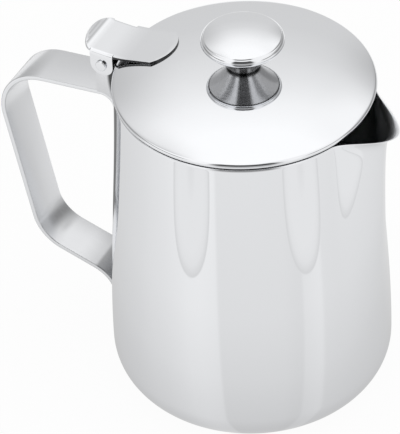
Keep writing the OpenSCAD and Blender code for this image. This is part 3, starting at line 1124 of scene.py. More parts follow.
@dataclass
class LidHinge:
    """Folded bracket on the strap's root and the riveted pin through it.

    Attributes:
        strap: Strap that carries the bracket.
        pin_drop: Depth of the pin below the mouth.
        pin_r: Radius of the pin.
        head_r: Radius of the pin's heads.
        head_h: Height of the heads.
        head_round: Rounding of the heads.
        span: Width over the thumb plate's ears.
        ear_gap: Gap between an ear and the bracket.
        ear_sheet: Thickness of the ears.
        sheet: Thickness of the bracket.
        cheek_r: Radius of the cheeks' round end.
        cheek_front: Reach of the cheeks ahead of the pin.
        cheek_turn: Turn of the cheeks' round end.
        cheek_sink: Depth of the cheeks in the strap.
        cheek_proud: How far the cheeks stand out of the bracket's width.
        saddle_sink: Depth of the saddle in the strap.
        shoulder_rise: Height of the cheeks' front shoulder above the pin.
        toe_rise: Height of the cheeks' front toe above their seat.
        web_in: Depth of the web behind the cheeks' front.
        web_rise: Height of the web's top above the pin.
        edge_break: Width of the broken edges.
        shade_drop: Depth below the pin of the middle of the painted shade in the hinge's recess.
        grime_flat: How much height counts in the distance from that middle.
        shade_reach: Distances from it at which the painted shade starts to fade and ends.
        shade_left: Share of the clean tint in the painted shade.
    """

    strap: StrapHandle
    pin_drop: float = 0.2
    pin_r: float = 1.6
    head_r: float = 2.2
    head_h: float = 0.9
    head_round: float = 0.4
    span: float = 21.2
    ear_gap: float = 0.3
    ear_sheet: float = 1.0
    sheet: float = 1.2
    cheek_r: float = 3.6
    cheek_front: float = 5.3
    cheek_turn: float = 150.0
    cheek_sink: float = 0.8
    cheek_proud: float = 0.06
    saddle_sink: float = 0.2
    shoulder_rise: float = 1.2
    toe_rise: float = 1.0
    web_in: float = 1.5
    web_rise: float = 1.0
    edge_break: float = 0.1
    shade_drop: float = 5.0
    grime_flat: float = 0.3
    shade_reach: Point = (2.8, 4.4)
    shade_left: float = 0.1

    @property
    def pin_z(self) -> float:
        """Height of the pin."""
        return self.strap.jug.height - self.pin_drop

    @property
    def bracket_half(self) -> float:
        """Half width of the bracket between the ears."""
        return self.span / 2 - self.ear_sheet - self.ear_gap

    def saddle(self, lift: float) -> list[Point]:
        """Gives a line along the strap's outer face, round its root bend and onto its top run.

        Args:
            lift: Height of the line above the face.

        Returns:
            Points from the front of the bracket to its back.
        """
        strap, path = self.strap, self.strap.path()
        line: list[Point] = []
        bend = path[strap.bend_steps // 2:strap.bend_steps + 3]
        for before, here, after in zip(bend, bend[1:], bend[2:]):
            along = (Vector(after) - Vector(before)).normalized()
            out = Vector((along.y, -along.x)) * (strap.thickness / 2 + lift)
            line.append((here[0] + out.x, here[1] + out.y))
        back = strap.pin_x - self.cheek_r
        return [*line, (back, strap.top_face(back) + lift)]

    def build_bracket(self) -> None:
        """Models the bracket as a saddle between two cheeks with round ends, closed by a web in front."""
        pin_x, seat = self.strap.pin_x, self.saddle(-self.cheek_sink)
        front, toe_z = pin_x + self.cheek_front, seat[0][1] + self.toe_rise
        inner_w = 2 * self.bracket_half - self.sheet
        saddle = [*self.saddle(-self.saddle_sink), *reversed(self.saddle(self.sheet))]
        pieces = [Bench.plate("hinge_bracket_sheet", saddle, 0.0, inner_w)]
        crown = arc((pin_x, self.pin_z), self.cheek_r, 180, -self.cheek_turn, steps=28)
        outline = [*seat, *crown, (front, self.pin_z + self.shoulder_rise), (front, toe_z)]
        for side in (-1.0, 1.0):
            middle = side * (self.bracket_half + self.cheek_proud - self.sheet / 2)
            pieces.append(Bench.plate("bracket_cheek", outline, middle, self.sheet))
        face, high = front - self.web_in, self.pin_z + self.web_rise
        back = face - self.sheet
        web = [(back, toe_z), (face, toe_z), (face, high), (back, high)]
        pieces.append(Bench.plate("bracket_web", web, 0.0, inner_w))
        for piece in pieces:
            Bench.break_edges(piece, self.edge_break, segments=2)
        # Painted shade on the bracket's front, in the dark recess under the ears and the plate.
        shade_at = (front, 0.0, self.pin_z - self.shade_drop)
        painted_shade = DarkPatch(shade_at, (1.0, 0.0, self.grime_flat), *self.shade_reach, self.shade_left)
        finish = replace(SMALL_PARTS, name="satin_bracket", dark_patches=(painted_shade,))
        Bench.settle(Bench.join(pieces), Body.JUG, "hinge_bracket", finish)

    def build_pin(self) -> None:
        """Models the pin by spinning its outline, with a flat round-edged head at each end."""
        half = self.span / 2 + self.ear_gap / 2
        corner = (self.head_r - self.head_round, half + self.head_h - self.head_round)
        edge = arc(corner, self.head_round, 90, -90, steps=10)
        side = [(0.0, half + self.head_h), *edge, (self.head_r, half), (self.pin_r, half)]
        profile = side + [(r, -z) for r, z in reversed(side)]
        piece = Bench.turn("hinge_rivet", profile, steps=48)
        Bench.only(piece)
        bpy.ops.object.mode_set(mode="EDIT")
        bpy.ops.mesh.select_all(action="SELECT")
        bpy.ops.transform.rotate(value=math.pi / 2, orient_axis="X", center_override=(0.0, 0.0, 0.0))
        bpy.ops.transform.translate(value=(self.strap.pin_x * MM, 0.0, self.pin_z * MM))
        bpy.ops.object.mode_set(mode="OBJECT")
        Bench.settle(piece, Body.JUG, "hinge_pin", MIRROR)

    def build(self) -> None:
        """Models and dresses the bracket and the pin."""
        self.build_bracket()
        self.build_pin()


@dataclass
class DomedLid:
    """Pressed lid with a flat spot for the knob, a full dome and a rolled edge.

    Attributes:
        jug: Jug that it closes.
        overhang: Reach of the rolled edge past the mouth.
        sheet: Thickness of the sheet.
        edge_r: Radius of the rolled edge.
        edge_slope: Slope of the dome where it runs into the rolled edge.
        dome_power: Power of the dome's section.
        seat_gap: Gap between the mouth and the rolled edge.
        seat_r: Radius of the flat spot under the knob.
        hole_r: Radius of the screw's hole.
        tuck_in: Step from the end of the roll to the underside.
        smooth_angle: Sharpest turn that is shaded smooth.
        steps: Steps in the full turn.
    """

    jug: JugBody
    overhang: float = 0.6
    sheet: float = 0.8
    edge_r: float = 1.3
    edge_slope: float = 20.0
    dome_power: float = 2.55
    seat_gap: float = 0.35
    seat_r: float = 8.6
    hole_r: float = 2.2
    tuck_in: float = 0.3
    smooth_angle: float = 40.0
    steps: int = 192

    @property
    def edge_c(self) -> float:
        """Radius of the middle of the rolled edge."""
        return self.jug.mouth_r + self.overhang - self.edge_r

    @property
    def edge_z(self) -> float:
        """Height of the middle of the rolled edge."""
        return self.jug.height + self.seat_gap + self.edge_r

    @property
    def touch_r(self) -> float:
        """Radius where the dome runs into the rolled edge."""
        return self.edge_c + self.edge_r * math.sin(math.radians(self.edge_slope))

    @property
    def drop(self) -> float:
        """Fall of the dome from its apex to the rolled edge."""
        return self.touch_r * math.tan(math.radians(self.edge_slope)) / self.dome_power

    @property
    def apex(self) -> float:
        """Height of the dome."""
        return self.edge_z + self.edge_r * math.cos(math.radians(self.edge_slope)) + self.drop

    def dome_z(self, r: float) -> float:
        """Height of the dome's outer face at a radius."""
        return self.apex - self.drop * (r / self.touch_r) ** self.dome_power

    def slope(self, r: float) -> float:
        """Slope of the dome at a radius, in radians."""
        steepest = math.tan(math.radians(self.edge_slope))
        return math.atan(steepest * (r / self.touch_r) ** (self.dome_power - 1))

    @property
    def seat_z(self) -> float:
        """Height of the flat spot under the knob."""
        return self.dome_z(self.seat_r)

    @property
    def under_z(self) -> float:
        """Height of the flat spot's underside."""
        return self.seat_z - self.sheet

    def section(self, r0: float, r1: float, depth: float, steps: int) -> list[Point]:
        """Gives the dome's section between two radii.

        Args:
            r0: First distance from the axis.
            r1: Last distance from the axis.
            depth: Depth below the outer face.
            steps: Number of steps.

        Returns:
            Points as (radius, height).
        """
        radii = [r0 + (r1 - r0) * i / steps for i in range(steps + 1)]
        return [(r, self.dome_z(r) - depth / math.cos(self.slope(r))) for r in radii]

    def build(self) -> None:
        """Models and dresses the lid."""
        tuck = math.degrees(math.acos(1 - self.sheet / self.edge_r))
        end = self.edge_c + self.edge_r * math.sin(math.radians(self.edge_slope - tuck)) - self.tuck_in
        outer = self.section(self.seat_r, self.touch_r, 0.0, steps=48)
        roll = arc((self.edge_c, self.edge_z), self.edge_r, 90 - self.edge_slope, -(360 - tuck), steps=40)
        inner = self.section(end, self.seat_r, self.sheet, steps=40)
        profile = [(self.hole_r, self.seat_z), *outer, *roll[1:], *inner, (self.hole_r, self.under_z)]
        piece = Bench.turn("domed_lid", [*profile, profile[0]], self.steps)
        Bench.settle(piece, Body.LID, "lid_shell", MIRROR, angle=self.smooth_angle)


@dataclass
class ThumbPlate:
    """Stamped plate with a tongue on the lid, two ears on the pin and a curled thumb rest.

    Attributes:
        lid: Lid that carries the plate.
        hinge: Hinge that the ears hang on.
        tongue_tip: Distance of the tongue's tip from the jug's axis.
        tongue_tip_r: Radius of the round tip.
        weld_at: Radius at which the tongue lies along the dome.
        weld_gap: Height of the tongue above the dome there, below 0 where it is let in.
        valley_bend_r: Bend radius between the tongue and the thumb rest.
        thumb_w: Width of the thumb rest.
        thumb_len: Reach of the thumb rest behind the pin.
        thumb_rise: Rise of the thumb rest's curl.
        thumb_start: Distance of the curl's bend behind the pin.
        thumb_bend_r: Radius of the curl's bend.
        thumb_lift: Height of the curl's bend above the valley.
        ear_r: Radius of the ears' round end.
        fold_r: Radius of the ears' fold.
        fold_angles: Turns of the rows on the fold.
        fold_slits: Distances from the fold of the cuts along it.
        fold_slack: How far off the fold line a point may lie.
        end_slack: How far past the line's ends it may lie, as a share.
        middle_slit: Distance of the inner cuts from the plate's middle.
        shoulder: Step from the ears' front end to the tongue's full width.
        rest_step: Step from the ears' back end to the thumb rest.
        cut_start: Place of the first cut across the tongue.
        cut_pitch: Distance between those cuts.
        cut_clear: Room between a bend's cut and an ear's end.
        cuts: Number of cuts across the tongue.
        edge_break: Width of the broken edges.
        shade_x: Middle of the painted shade on the tongue's edge, under the plate.
        shade_reach: Distances from it at which the painted shade starts to fade and ends.
        shade_left: Share of the clean tint in the painted shade.
        columns: Columns of an ear.
        ear_steps: Rows of an ear below its fold.
        thumb_steps: Steps round the thumb rest.
    """

    lid: DomedLid
    hinge: LidHinge
    tongue_tip: float = 28.9
    tongue_tip_r: float = 13.6
    weld_at: float = 31.8
    weld_gap: float = -0.3
    valley_bend_r: float = 40.0
    thumb_w: float = 20.4
    thumb_len: float = 9.4
    thumb_rise: float = 2.6
    thumb_start: float = 6.5
    thumb_bend_r: float = 8.0
    thumb_lift: float = 0.95
    ear_r: float = 4.8
    fold_r: float = 0.9
    fold_angles: tuple[float, ...] = (18.0, 36.0, 54.0, 72.0, 90.0)
    fold_slits: tuple[float, ...] = (0.3, 1.2)
    fold_slack: float = 0.01
    end_slack: float = 0.001
    middle_slit: float = 4.0
    shoulder: float = 0.5
    rest_step: float = 0.1
    cut_start: float = -43.0
    cut_pitch: float = 2.4
    cut_clear: float = 0.15
    cuts: int = 6
    edge_break: float = 0.35
    shade_x: float = -35.0
    shade_reach: Point = (15.6, 16.8)
    shade_left: float = 0.08
    columns: int = 16
    ear_steps: int = 8
    thumb_steps: int = 40

    @property
    def sheet(self) -> float:
        """Thickness of the plate."""
        return self.hinge.ear_sheet

    @property
    def half(self) -> float:
        """Half width of the plate over its ears."""
        return self.hinge.span / 2

    @property
    def flat(self) -> float:
        """Half width of the flat between the folds of the ears."""
        return self.half - self.sheet / 2 - self.fold_r

    @property
    def ear_ends(self) -> Point:
        """Back and front end of the ears along X."""
        pin_x = self.hinge.strap.pin_x
        return pin_x - self.ear_r, pin_x + self.ear_r

    def tongue_z(self, x: float) -> float:
        """Gives the height of the tongue's middle.

        Args:
            x: Place along the jug.

        Returns:
            The height.
        """
        slope = self.lid.slope(self.weld_at)
        lift = (self.weld_gap + self.sheet / 2) / math.cos(slope)
        return self.lid.dome_z(self.weld_at) + (x + self.weld_at) * math.tan(slope) + lift

    def path(self) -> list[Point]:
        """Gives the side view of the plate's middle.

        Returns:
            Points as (x, z) from the thumb rest to the tongue's tip.
        """
        pin_x, valley = self.hinge.strap.pin_x, -self.lid.edge_c
        bend = self.tongue_z(valley) + self.thumb_lift
        corners = [
            (pin_x - self.thumb_len, bend + self.thumb_rise, 0.0),
            (pin_x - self.thumb_start, bend, self.thumb_bend_r),
            (valley, self.tongue_z(valley), self.valley_bend_r),
            (-self.tongue_tip, self.tongue_z(-self.tongue_tip), 0.0),
        ]
        return bent_path(corners, steps=20)

    def outline(self) -> list[Point]:
        """Gives the plan of the flat blank without its ears.

        Returns:
            Points as (x, y), from the near ear round the tongue, the far ear and the thumb rest.
        """
        back, front = self.ear_ends
        wide = math.degrees(math.asin(self.half / self.tongue_tip_r))
        tip = arc((-self.tongue_tip - self.tongue_tip_r, 0.0), self.tongue_tip_r, -wide, 2 * wide, steps=48)
        rest, length = back - self.rest_step, self.thumb_len - self.ear_r - self.rest_step
        turns = [math.pi * i / self.thumb_steps for i in range(self.thumb_steps + 1)]
        thumb = [(rest - length * math.sin(t), self.thumb_w / 2 * math.cos(t)) for t in turns]
        full = front + self.shoulder
        return [
            (front, -self.flat), (full, -self.half), *tip, (full, self.half), (front, self.flat),
            (back, self.flat), *thumb, (back, -self.flat),
        ]

    def fold_share(self, side: float, at: Vector) -> float | None:
        """Gives the share of a point along an ear's fold line.

        Args:
            side: -1 for the near ear, 1 for the far one.
            at: Place of the point in metres.

        Returns:
            The share from the ear's back to its front, or None off the line.
        """
        back, front = self.ear_ends
        along = (at.x / MM - back) / (front - back)
        on_line = abs(at.y / MM - side * self.flat) < self.fold_slack
        return along if on_line and -self.end_slack < along < 1.0 + self.end_slack else None

    def on_fold(self, side: float, angle: float, share: float, last: Vector) -> Vector:
        """Places a point of an ear's fold.

        Args:
            side: -1 for the near ear, 1 for the far one.
            angle: Turn of the fold in radians.
            share: Share along the ear from its back to its front.
            last: Place in the row before, which the fold doesn't need.

        Returns:
            The place in metres.
        """
        back, front = self.ear_ends
        x = back + (front - back) * share
        y = self.flat + self.fold_r * math.sin(angle)
        z = height_on(self.path(), x) - self.fold_r * (1 - math.cos(angle))
        return Vector((x, side * y, z)) * MM

    def on_ear(self, left: int, share: float, last: Vector) -> Vector:
        """Places a point of an ear below its fold, on the way down to its rounded end.

        Args:
            left: Rows that are left, this one with them.
            share: Share along the ear from its back to its front.
            last: Place in the row before, in metres.

        Returns:
            The place in metres.
        """
        angle = math.pi * (1.0 + share)
        end_x = self.hinge.strap.pin_x + self.ear_r * math.cos(angle)
        end_z = self.hinge.pin_z + self.ear_r * math.sin(angle)
        return (last / MM).lerp(Vector((end_x, last.y / MM, end_z)), 1.0 / left) * MM

    def build(self) -> None:
        """Models and dresses the plate."""
        path, (back, front) = self.path(), self.ear_ends
        bends = [x for x, _ in path[1:-1] if min(abs(x - back), abs(x - front)) > self.cut_clear]
        even = [back + (front - back) * i / self.columns for i in range(self.columns + 1)]
        tongue = [self.cut_start + self.cut_pitch * i for i in range(self.cuts)]
        inner = [*(self.flat - gap for gap in self.fold_slits), self.middle_slit]
        slits = [side * y for side in (-1, 1) for y in inner]
        piece = Bench.sheet("thumb_plate_sheet", self.outline(), sorted({*bends, *even, *tongue}), slits)
        for vertex in piece.data.vertices:
            vertex.co.z = height_on(path, vertex.co.x / MM) * MM
        for side in (-1.0, 1.0):
            rows = [partial(self.on_fold, side, math.radians(a)) for a in self.fold_angles]
            rows += [partial(self.on_ear, left) for left in range(self.ear_steps, 0, -1)]
            Bench.lug(piece, partial(self.fold_share, side), rows)
        Bench.thicken(piece, self.sheet, self.edge_break, under=True)
        # Painted shade on the rim along the tongue, where it stands dark over the lid.
        painted_shade = DarkPatch((self.shade_x, 0.0, 0.0), (1.0, 0.0, 0.0), *self.shade_reach, self.shade_left)
        Bench.settle(piece, Body.LID, "thumb_plate", MIRROR, replace(SHEARED, dark_patches=(painted_shade,)))


@dataclass
class MushroomKnob:
    """Hollow knob: trumpet base, crowned cap, and the screw that holds them to the lid.

    Attributes:
        lid: Lid that carries the knob.
        radius: Radius over the cap's rim.
        height: Height of the cap's widest ring above the lid.
        crown: Height of the cap's top above that ring.
        rim_r: Radius of the cap's rolled rim.
        foot_r: Radius of the trumpet's foot.
        foot_break: Width of the foot's broken edge.
        bead_tilt: Tilt at which the rim runs into the ledge.
        ledge_r: Radius of the hollow ledge between the rim and the crown.
        ledge_tilt: Tilt at which the ledge runs into the crown's edge.
        edge_r: Rounding of the crown's edge.
        sheet: Thickness of the two shells.
        seam_gap: Gap between the rim and the trumpet.
        seam_turn: Turn of the rim below its widest ring.
        screw_r: Radius of the screw.
        hole_gap: Gap round the screw.
        bush_len: Length of the bush.
        bush_wall: Wall of the bush.
        washer_r: Radius of the washer.
        washer_t: Thickness of the washer.
        head_r: Radius of the screw's head.
        head_h: Height of the head.
        flare_low: Lower steering point of the trumpet, as shares of its flare and of the knob's height.
        flare_high: Upper steering point, as the same shares.
        flare_steps: Steps along the trumpet.
        flare_lift: Height of the trumpet's inner face over its outer one, as a share of the sheet.
        cap_lap: Step from the rim's inner face to the crown's.
        bush_break: Broken edge at the bush's lower end.
        bush_top_break: Broken edge at its upper end.
        washer_break: Broken edge of the washer.
        head_edge: Height of the head's straight edge.
        head_side: Depth of the head's first steering point.
        head_round: Distance of its second steering point from the edge.
        head_break: Broken edge on the head's bearing face.
        head_steps: Steps along the head.
        tip_in: Depth of the screw's tip in the bush.
        tip_break: Width and height of the tip's taper.
        cross: Length, width and height of the cutter for the driver's cross.
        shade_reach: Heights above the lid at which the painted shade at the trumpet's foot starts to fade and
            ends.
        shade_left: Share of the clean tint in that painted shade.
        joint_reach: Distances from the seam at which its shade starts to fade and ends.
        joint_left: Share of the clean tint in the seam's shade.
        steps: Steps in the full turn of the shells.
    """

    lid: DomedLid
    radius: float = 15.8
    height: float = 12.1
    crown: float = 4.6
    rim_r: float = 1.9
    foot_r: float = 6.3
    foot_break: float = 0.6
    bead_tilt: float = 31.0
    ledge_r: float = 0.4
    ledge_tilt: float = 58.0
    edge_r: float = 0.8
    sheet: float = 0.8
    seam_gap: float = 0.08
    seam_turn: float = 66.0
    screw_r: float = 2.0
    hole_gap: float = 0.2
    bush_len: float = 7.0
    bush_wall: float = 2.2
    washer_r: float = 5.5
    washer_t: float = 1.0
    head_r: float = 3.8
    head_h: float = 2.4
    flare_low: Point = (0.2, 0.3)
    flare_high: Point = (0.58, 0.62)
    flare_steps: int = 36
    flare_lift: float = 0.6
    cap_lap: float = 0.4
    bush_break: float = 0.2
    bush_top_break: float = 0.3
    washer_break: float = 0.2
    head_edge: float = 0.5
    head_side: float = 1.7
    head_round: float = 0.9
    head_break: float = 0.1
    head_steps: int = 12
    tip_in: float = 1.0
    tip_break: Point = (0.4, 0.5)
    cross: Triple = (4.2, 0.8, 2.4)
    shade_reach: Point = (0.35, 1.5)
    shade_left: float = 0.05
    joint_reach: Point = (0.15, 0.55)
    joint_left: float = 0.12
    steps: int = 112

    @property
    def rim_c(self) -> float:
        """Radius of the middle of the rolled rim."""
        return self.radius - self.rim_r

    @property
    def cap_z(self) -> float:
        """Height of the cap's widest ring."""
        return self.lid.seat_z + self.height

    @property
    def bush_low(self) -> float:
        """Height of the bush's lower end, on the trumpet's floor."""
        return self.lid.seat_z + self.sheet

    @property
    def bush_top(self) -> float:
        """Height of the bush's upper end."""
        return self.bush_low + self.bush_len

    @property
    def head_z(self) -> float:
        """Height of the washer's underside, on which the screw's head bears."""
        return self.lid.under_z - self.washer_t

    def seam(self) -> Point:
        """Place where the cap's rim ends against the trumpet."""
        turn = math.radians(-self.seam_turn)
        return self.rim_c + self.rim_r * math.cos(turn), self.cap_z + self.rim_r * math.sin(turn)

    def build_base(self) -> None:
        """Models the trumpet."""
        z0, seam = self.lid.seat_z, self.seam()
        flare = seam[0] - self.seam_gap - self.foot_r
        control = [
            (self.foot_r, z0 + self.foot_break),
            (self.foot_r + flare * self.flare_low[0], z0 + self.height * self.flare_low[1]),
            (self.foot_r + flare * self.flare_high[0], z0 + self.height * self.flare_high[1]),
            (self.foot_r + flare, seam[1]),
        ]
        outer = [bezier(control, i / self.flare_steps) for i in range(self.flare_steps + 1)]
        inner = [(r - self.sheet, z + self.sheet * self.flare_lift) for r, z in outer]
        inner[0] = (outer[0][0] - self.sheet, outer[0][1] + self.sheet)
        hole = self.screw_r + self.hole_gap
        foot = [(hole, z0), (self.foot_r - self.foot_break, z0)]
        profile = [*foot, *outer, *reversed(inner), (hole, z0 + self.sheet), foot[0]]
        piece = Bench.turn("knob_trumpet", profile, self.steps)
        upwards = (0.0, 0.0, 1.0)
        # Painted shade where the trumpet's foot meets the lid, and painted shade at the seam under the cap's
        # rim.
        painted_shade = DarkPatch((0.0, 0.0, z0), upwards, *self.shade_reach, self.shade_left)
        joint = DarkPatch((0.0, 0.0, seam[1]), upwards, *self.joint_reach, self.joint_left)
        Bench.settle(piece, Body.LID, "knob_base", replace(TURNED, dark_patches=(painted_shade, joint)))

    def build_cap(self) -> None:
        """Models the crowned cap, whose edge steps down to the rolled rim."""
        bead, ledge = math.radians(self.bead_tilt), math.radians(self.ledge_tilt)
        reach = self.rim_r + self.ledge_r
        hollow = (self.rim_c + reach * math.sin(bead), self.cap_z + reach * math.cos(bead))
        reach = self.ledge_r + self.edge_r
        edge = (hollow[0] - reach * math.sin(ledge), hollow[1] - reach * math.cos(ledge))
        top = self.cap_z + self.crown
        rise = top - edge[1]
        ball = (rise**2 + edge[0] ** 2 - self.edge_r**2) / (2 * (rise - self.edge_r))
        tilt = math.degrees(math.asin(edge[0] / (ball - self.edge_r)))
        crown = ball_arc(ball, top, 0.0, edge[0] + self.edge_r * math.sin(math.radians(tilt)), steps=30)
        step = arc(edge, self.edge_r, 90 - tilt, tilt - self.ledge_tilt, steps=10)
        drop = arc(hollow, self.ledge_r, 270 - self.ledge_tilt, self.ledge_tilt - self.bead_tilt, steps=8)
        sweep = 90 - self.bead_tilt + self.seam_turn
        roll = arc((self.rim_c, self.cap_z), self.rim_r, 90 - self.bead_tilt, -sweep, steps=30)
        back = arc((self.rim_c, self.cap_z), self.rim_r - self.sheet, -self.seam_turn, sweep, steps=12)
        inner = ball_arc(ball - self.sheet, top - self.sheet, back[-1][0] - self.cap_lap, 0.0, steps=16)
        profile = [*crown, *step[1:], *drop[1:], *roll[1:], *back, *inner]
        piece = Bench.turn("knob_crown", profile, self.steps)
        Bench.settle(piece, Body.LID, "knob_cap", MIRROR)

    def build_bush(self) -> None:
        """Models the bush that stands in the knob."""
        hole, wide = self.screw_r, self.screw_r + self.bush_wall
        low, top = self.bush_low, self.bush_top
        profile = [
            (hole, low), (wide - self.bush_break, low), (wide, low + self.bush_break),
            (wide, top - self.bush_top_break), (wide - self.bush_top_break, top), (hole, top), (hole, low),
        ]
        Bench.settle(Bench.turn("knob_thread_bush", profile, steps=48), Body.LID, "knob_bush", SMALL_PARTS)

    def build_washer(self) -> None:
        """Models the washer under the lid."""
        hole, wide = self.screw_r + self.hole_gap, self.washer_r
        low, top = self.head_z, self.lid.under_z
        profile = [
            (hole, top), (wide, top), (wide, low + self.washer_break), (wide - self.washer_break, low),
            (hole, low), (hole, top),
        ]
        Bench.settle(Bench.turn("knob_plain_washer", profile, steps=64), Body.LID, "knob_washer", SMALL_PARTS)

    def build_screw(self) -> None:
        """Models the screw with a domed head and a driver's cross in it."""
        head, tip = self.head_z, self.bush_top - self.tip_in
        face = head - self.head_h
        control = [
            (self.head_r, head - self.head_edge),
            (self.head_r, head - self.head_side),
            (self.head_r - self.head_round, face),
            (0.0, face),
        ]
        dome = [bezier(control, i / self.head_steps) for i in range(self.head_steps + 1)]
        taper, length = self.tip_break
        shank = [(0.0, tip), (self.screw_r - taper, tip), (self.screw_r, tip - length), (self.screw_r, head)]
        profile = [*shank, (self.head_r - self.head_break, head), *dome]
        piece = Bench.turn("knob_pan_screw", profile, steps=48)
        self.cut_cross(piece, face)
        Bench.settle(piece, Body.LID, "knob_screw", SMALL_PARTS)

    def cut_cross(self, screw: bpy.types.Object, face: float) -> None:
        """Cuts a driver's cross into the screw's head.

        Args:
            screw: The turned screw.
            face: Height of the head's outer face.
        """
        for turn in (0.0, math.pi / 2):
            bpy.ops.object.select_all(action="DESELECT")
            bpy.ops.mesh.primitive_cube_add(size=MM, location=(0.0, 0.0, 0.0))
            cutter = bpy.context.object
            bpy.ops.object.mode_set(mode="EDIT")
            bpy.ops.transform.resize(value=self.cross)
            bpy.ops.transform.rotate(value=turn, orient_axis="Z", center_override=(0.0, 0.0, 0.0))
            bpy.ops.transform.translate(value=(0.0, 0.0, face * MM))
            bpy.ops.object.mode_set(mode="OBJECT")
            Bench.apply(screw, "BOOLEAN", operation="DIFFERENCE", object=cutter, solver="EXACT")
            bpy.data.objects.remove(cutter)

    def build(self) -> None:
        """Models and dresses the whole knob."""
        self.build_base()
        self.build_cap()
        self.build_bush()
        self.build_washer()
        self.build_screw()


@dataclass
class PhotoCamera:
    """Long lens that looks down on the jug from the front right.

    Its focal length and offset are in pixels of a picture of the given width and height.
    """

    azimuth: float = 27.2
    elevation: float = 41.324
    roll: float = -2.007
    distance: float = 1200.0
    focal_px: float = 3063.1
    target: Triple = (0.0, 0.0, 65.0)
    offset: Point = (48.671, 16.666)
    width: int = 400
    height: int = 434
    sensor: float = 36.0
    clip: Point = (10.0, 50000.0)

    def back(self) -> Vector:
        """Direction from the jug to the camera, a unit vector."""
        a, e = math.radians(self.azimuth), math.radians(self.elevation)
        return Vector((math.sin(a) * math.cos(e), -math.cos(a) * math.cos(e), math.sin(e)))

    def rotation(self) -> Matrix:
        """Gives the camera's turn, with the target off the middle of the picture by the offset.

        Returns:
            The turn as a matrix.
        """
        back, turn = self.back(), math.radians(self.azimuth)
        right = Vector((math.cos(turn), math.sin(turn), 0.0))
        basis = Matrix((right, back.cross(right), back)).transposed()
        ray = Vector((self.offset[0], -self.offset[1], -self.focal_px)).normalized()
        swing = Vector((0.0, 0.0, -1.0)).rotation_difference(ray).to_matrix()
        return basis @ swing.transposed() @ Matrix.Rotation(math.radians(self.roll), 3, "Z")

    def build(self) -> None:
        """Adds the camera and makes it the scene's own."""
        data = bpy.data.cameras.new("photo_camera")
        data.sensor_fit = "AUTO"
        data.sensor_width = self.sensor
        data.lens = self.sensor * self.focal_px / max(self.width, self.height)
        data.clip_start, data.clip_end = (end * MM for end in self.clip)
        camera = bpy.data.objects.new("photo_camera", data)
        bpy.context.scene.collection.objects.link(camera)
        place = (Vector(self.target) + self.back() * self.distance) * MM
        camera.matrix_world = Matrix.Translation(place) @ self.rotation().to_4x4()
        bpy.context.scene.camera = camera
        log.info("camera at %s", [round(v, 3) for v in place])


@dataclass(frozen=True)
class Panel:
    """A part of the studio's wall that is lighter or darker than the tent, in degrees round the jug.

    Turns are measured from the camera's side, to the right positive.

    Attributes:
        name: What stands there.
        turn: Turn of its middle.
        half: Half of its width.
        soft: Width of its soft sides.
        low: Elevation of its foot.
        high: Elevation of its head.
        fade: Height of its soft foot and head.
        tone: Its tone.
    """

    name: str
    turn: float
    half: float
    soft: float
    low: float
    high: float
    fade: float
    tone: float

    def mask(
        self, desk: NodeDesk, level: bpy.types.NodeSocket, rise: bpy.types.NodeSocket, front: float
    ) -> bpy.types.NodeSocket:
        """Wires the panel's mask.

        Args:
            desk: Where to wire it.
            level: Level direction, a unit vector.
            rise: Elevation in radians.
            front: Azimuth of the camera's side in degrees.

        Returns:
            The mask's socket.
        """
        facing = math.radians(front + self.turn)
        middle = (math.sin(facing), -math.cos(facing), 0.0)
        off = desk.math("ARCCOSINE", desk.vector("DOT_PRODUCT", level, middle).outputs["Value"])
        edge, end = self.soft / 2, self.fade / 2
        side = desk.step(off, math.radians(self.half + edge), math.radians(self.half - edge))
        foot = desk.step(rise, math.radians(self.low - end), math.radians(self.low + end))
        head = desk.step(rise, math.radians(self.high + end), math.radians(self.high - end))
        return desk.math("MULTIPLY", side, desk.math("MULTIPLY", foot, head))


PANELS = (
    Panel("left_gap", -125.0, 33.0, 25.0, -120.0, 36.0, 50.0, 0.52),
    Panel("right_head", 122.0, 28.0, 20.0, 40.0, 57.0, 14.0, 1.08),
    Panel("right_flag", 124.0, 8.0, 20.0, 36.0, 44.0, 12.0, 0.50),
    Panel("left_shade", -108.0, 24.0, 40.0, 42.0, 68.0, 16.0, 0.70),
    Panel("right_gap", 120.0, 34.0, 25.0, -120.0, 29.0, 18.0, 0.38),
    Panel("left_softbox", -57.0, 30.0, 12.0, -120.0, 52.0, 30.0, 1.08),
    Panel("right_softbox", 56.0, 27.0, 14.0, -120.0, 120.0, 10.0, 1.03),
    Panel("left_stand", -85.0, 37.0, 12.0, 5.0, 20.0, 6.0, 0.26),
    Panel("right_stand", 85.0, 37.0, 12.0, 5.0, 20.0, 6.0, 0.29),
    Panel("dark_front", -1.5, 26.5, 9.0, 3.0, 58.0, 12.0, 0.09),
)


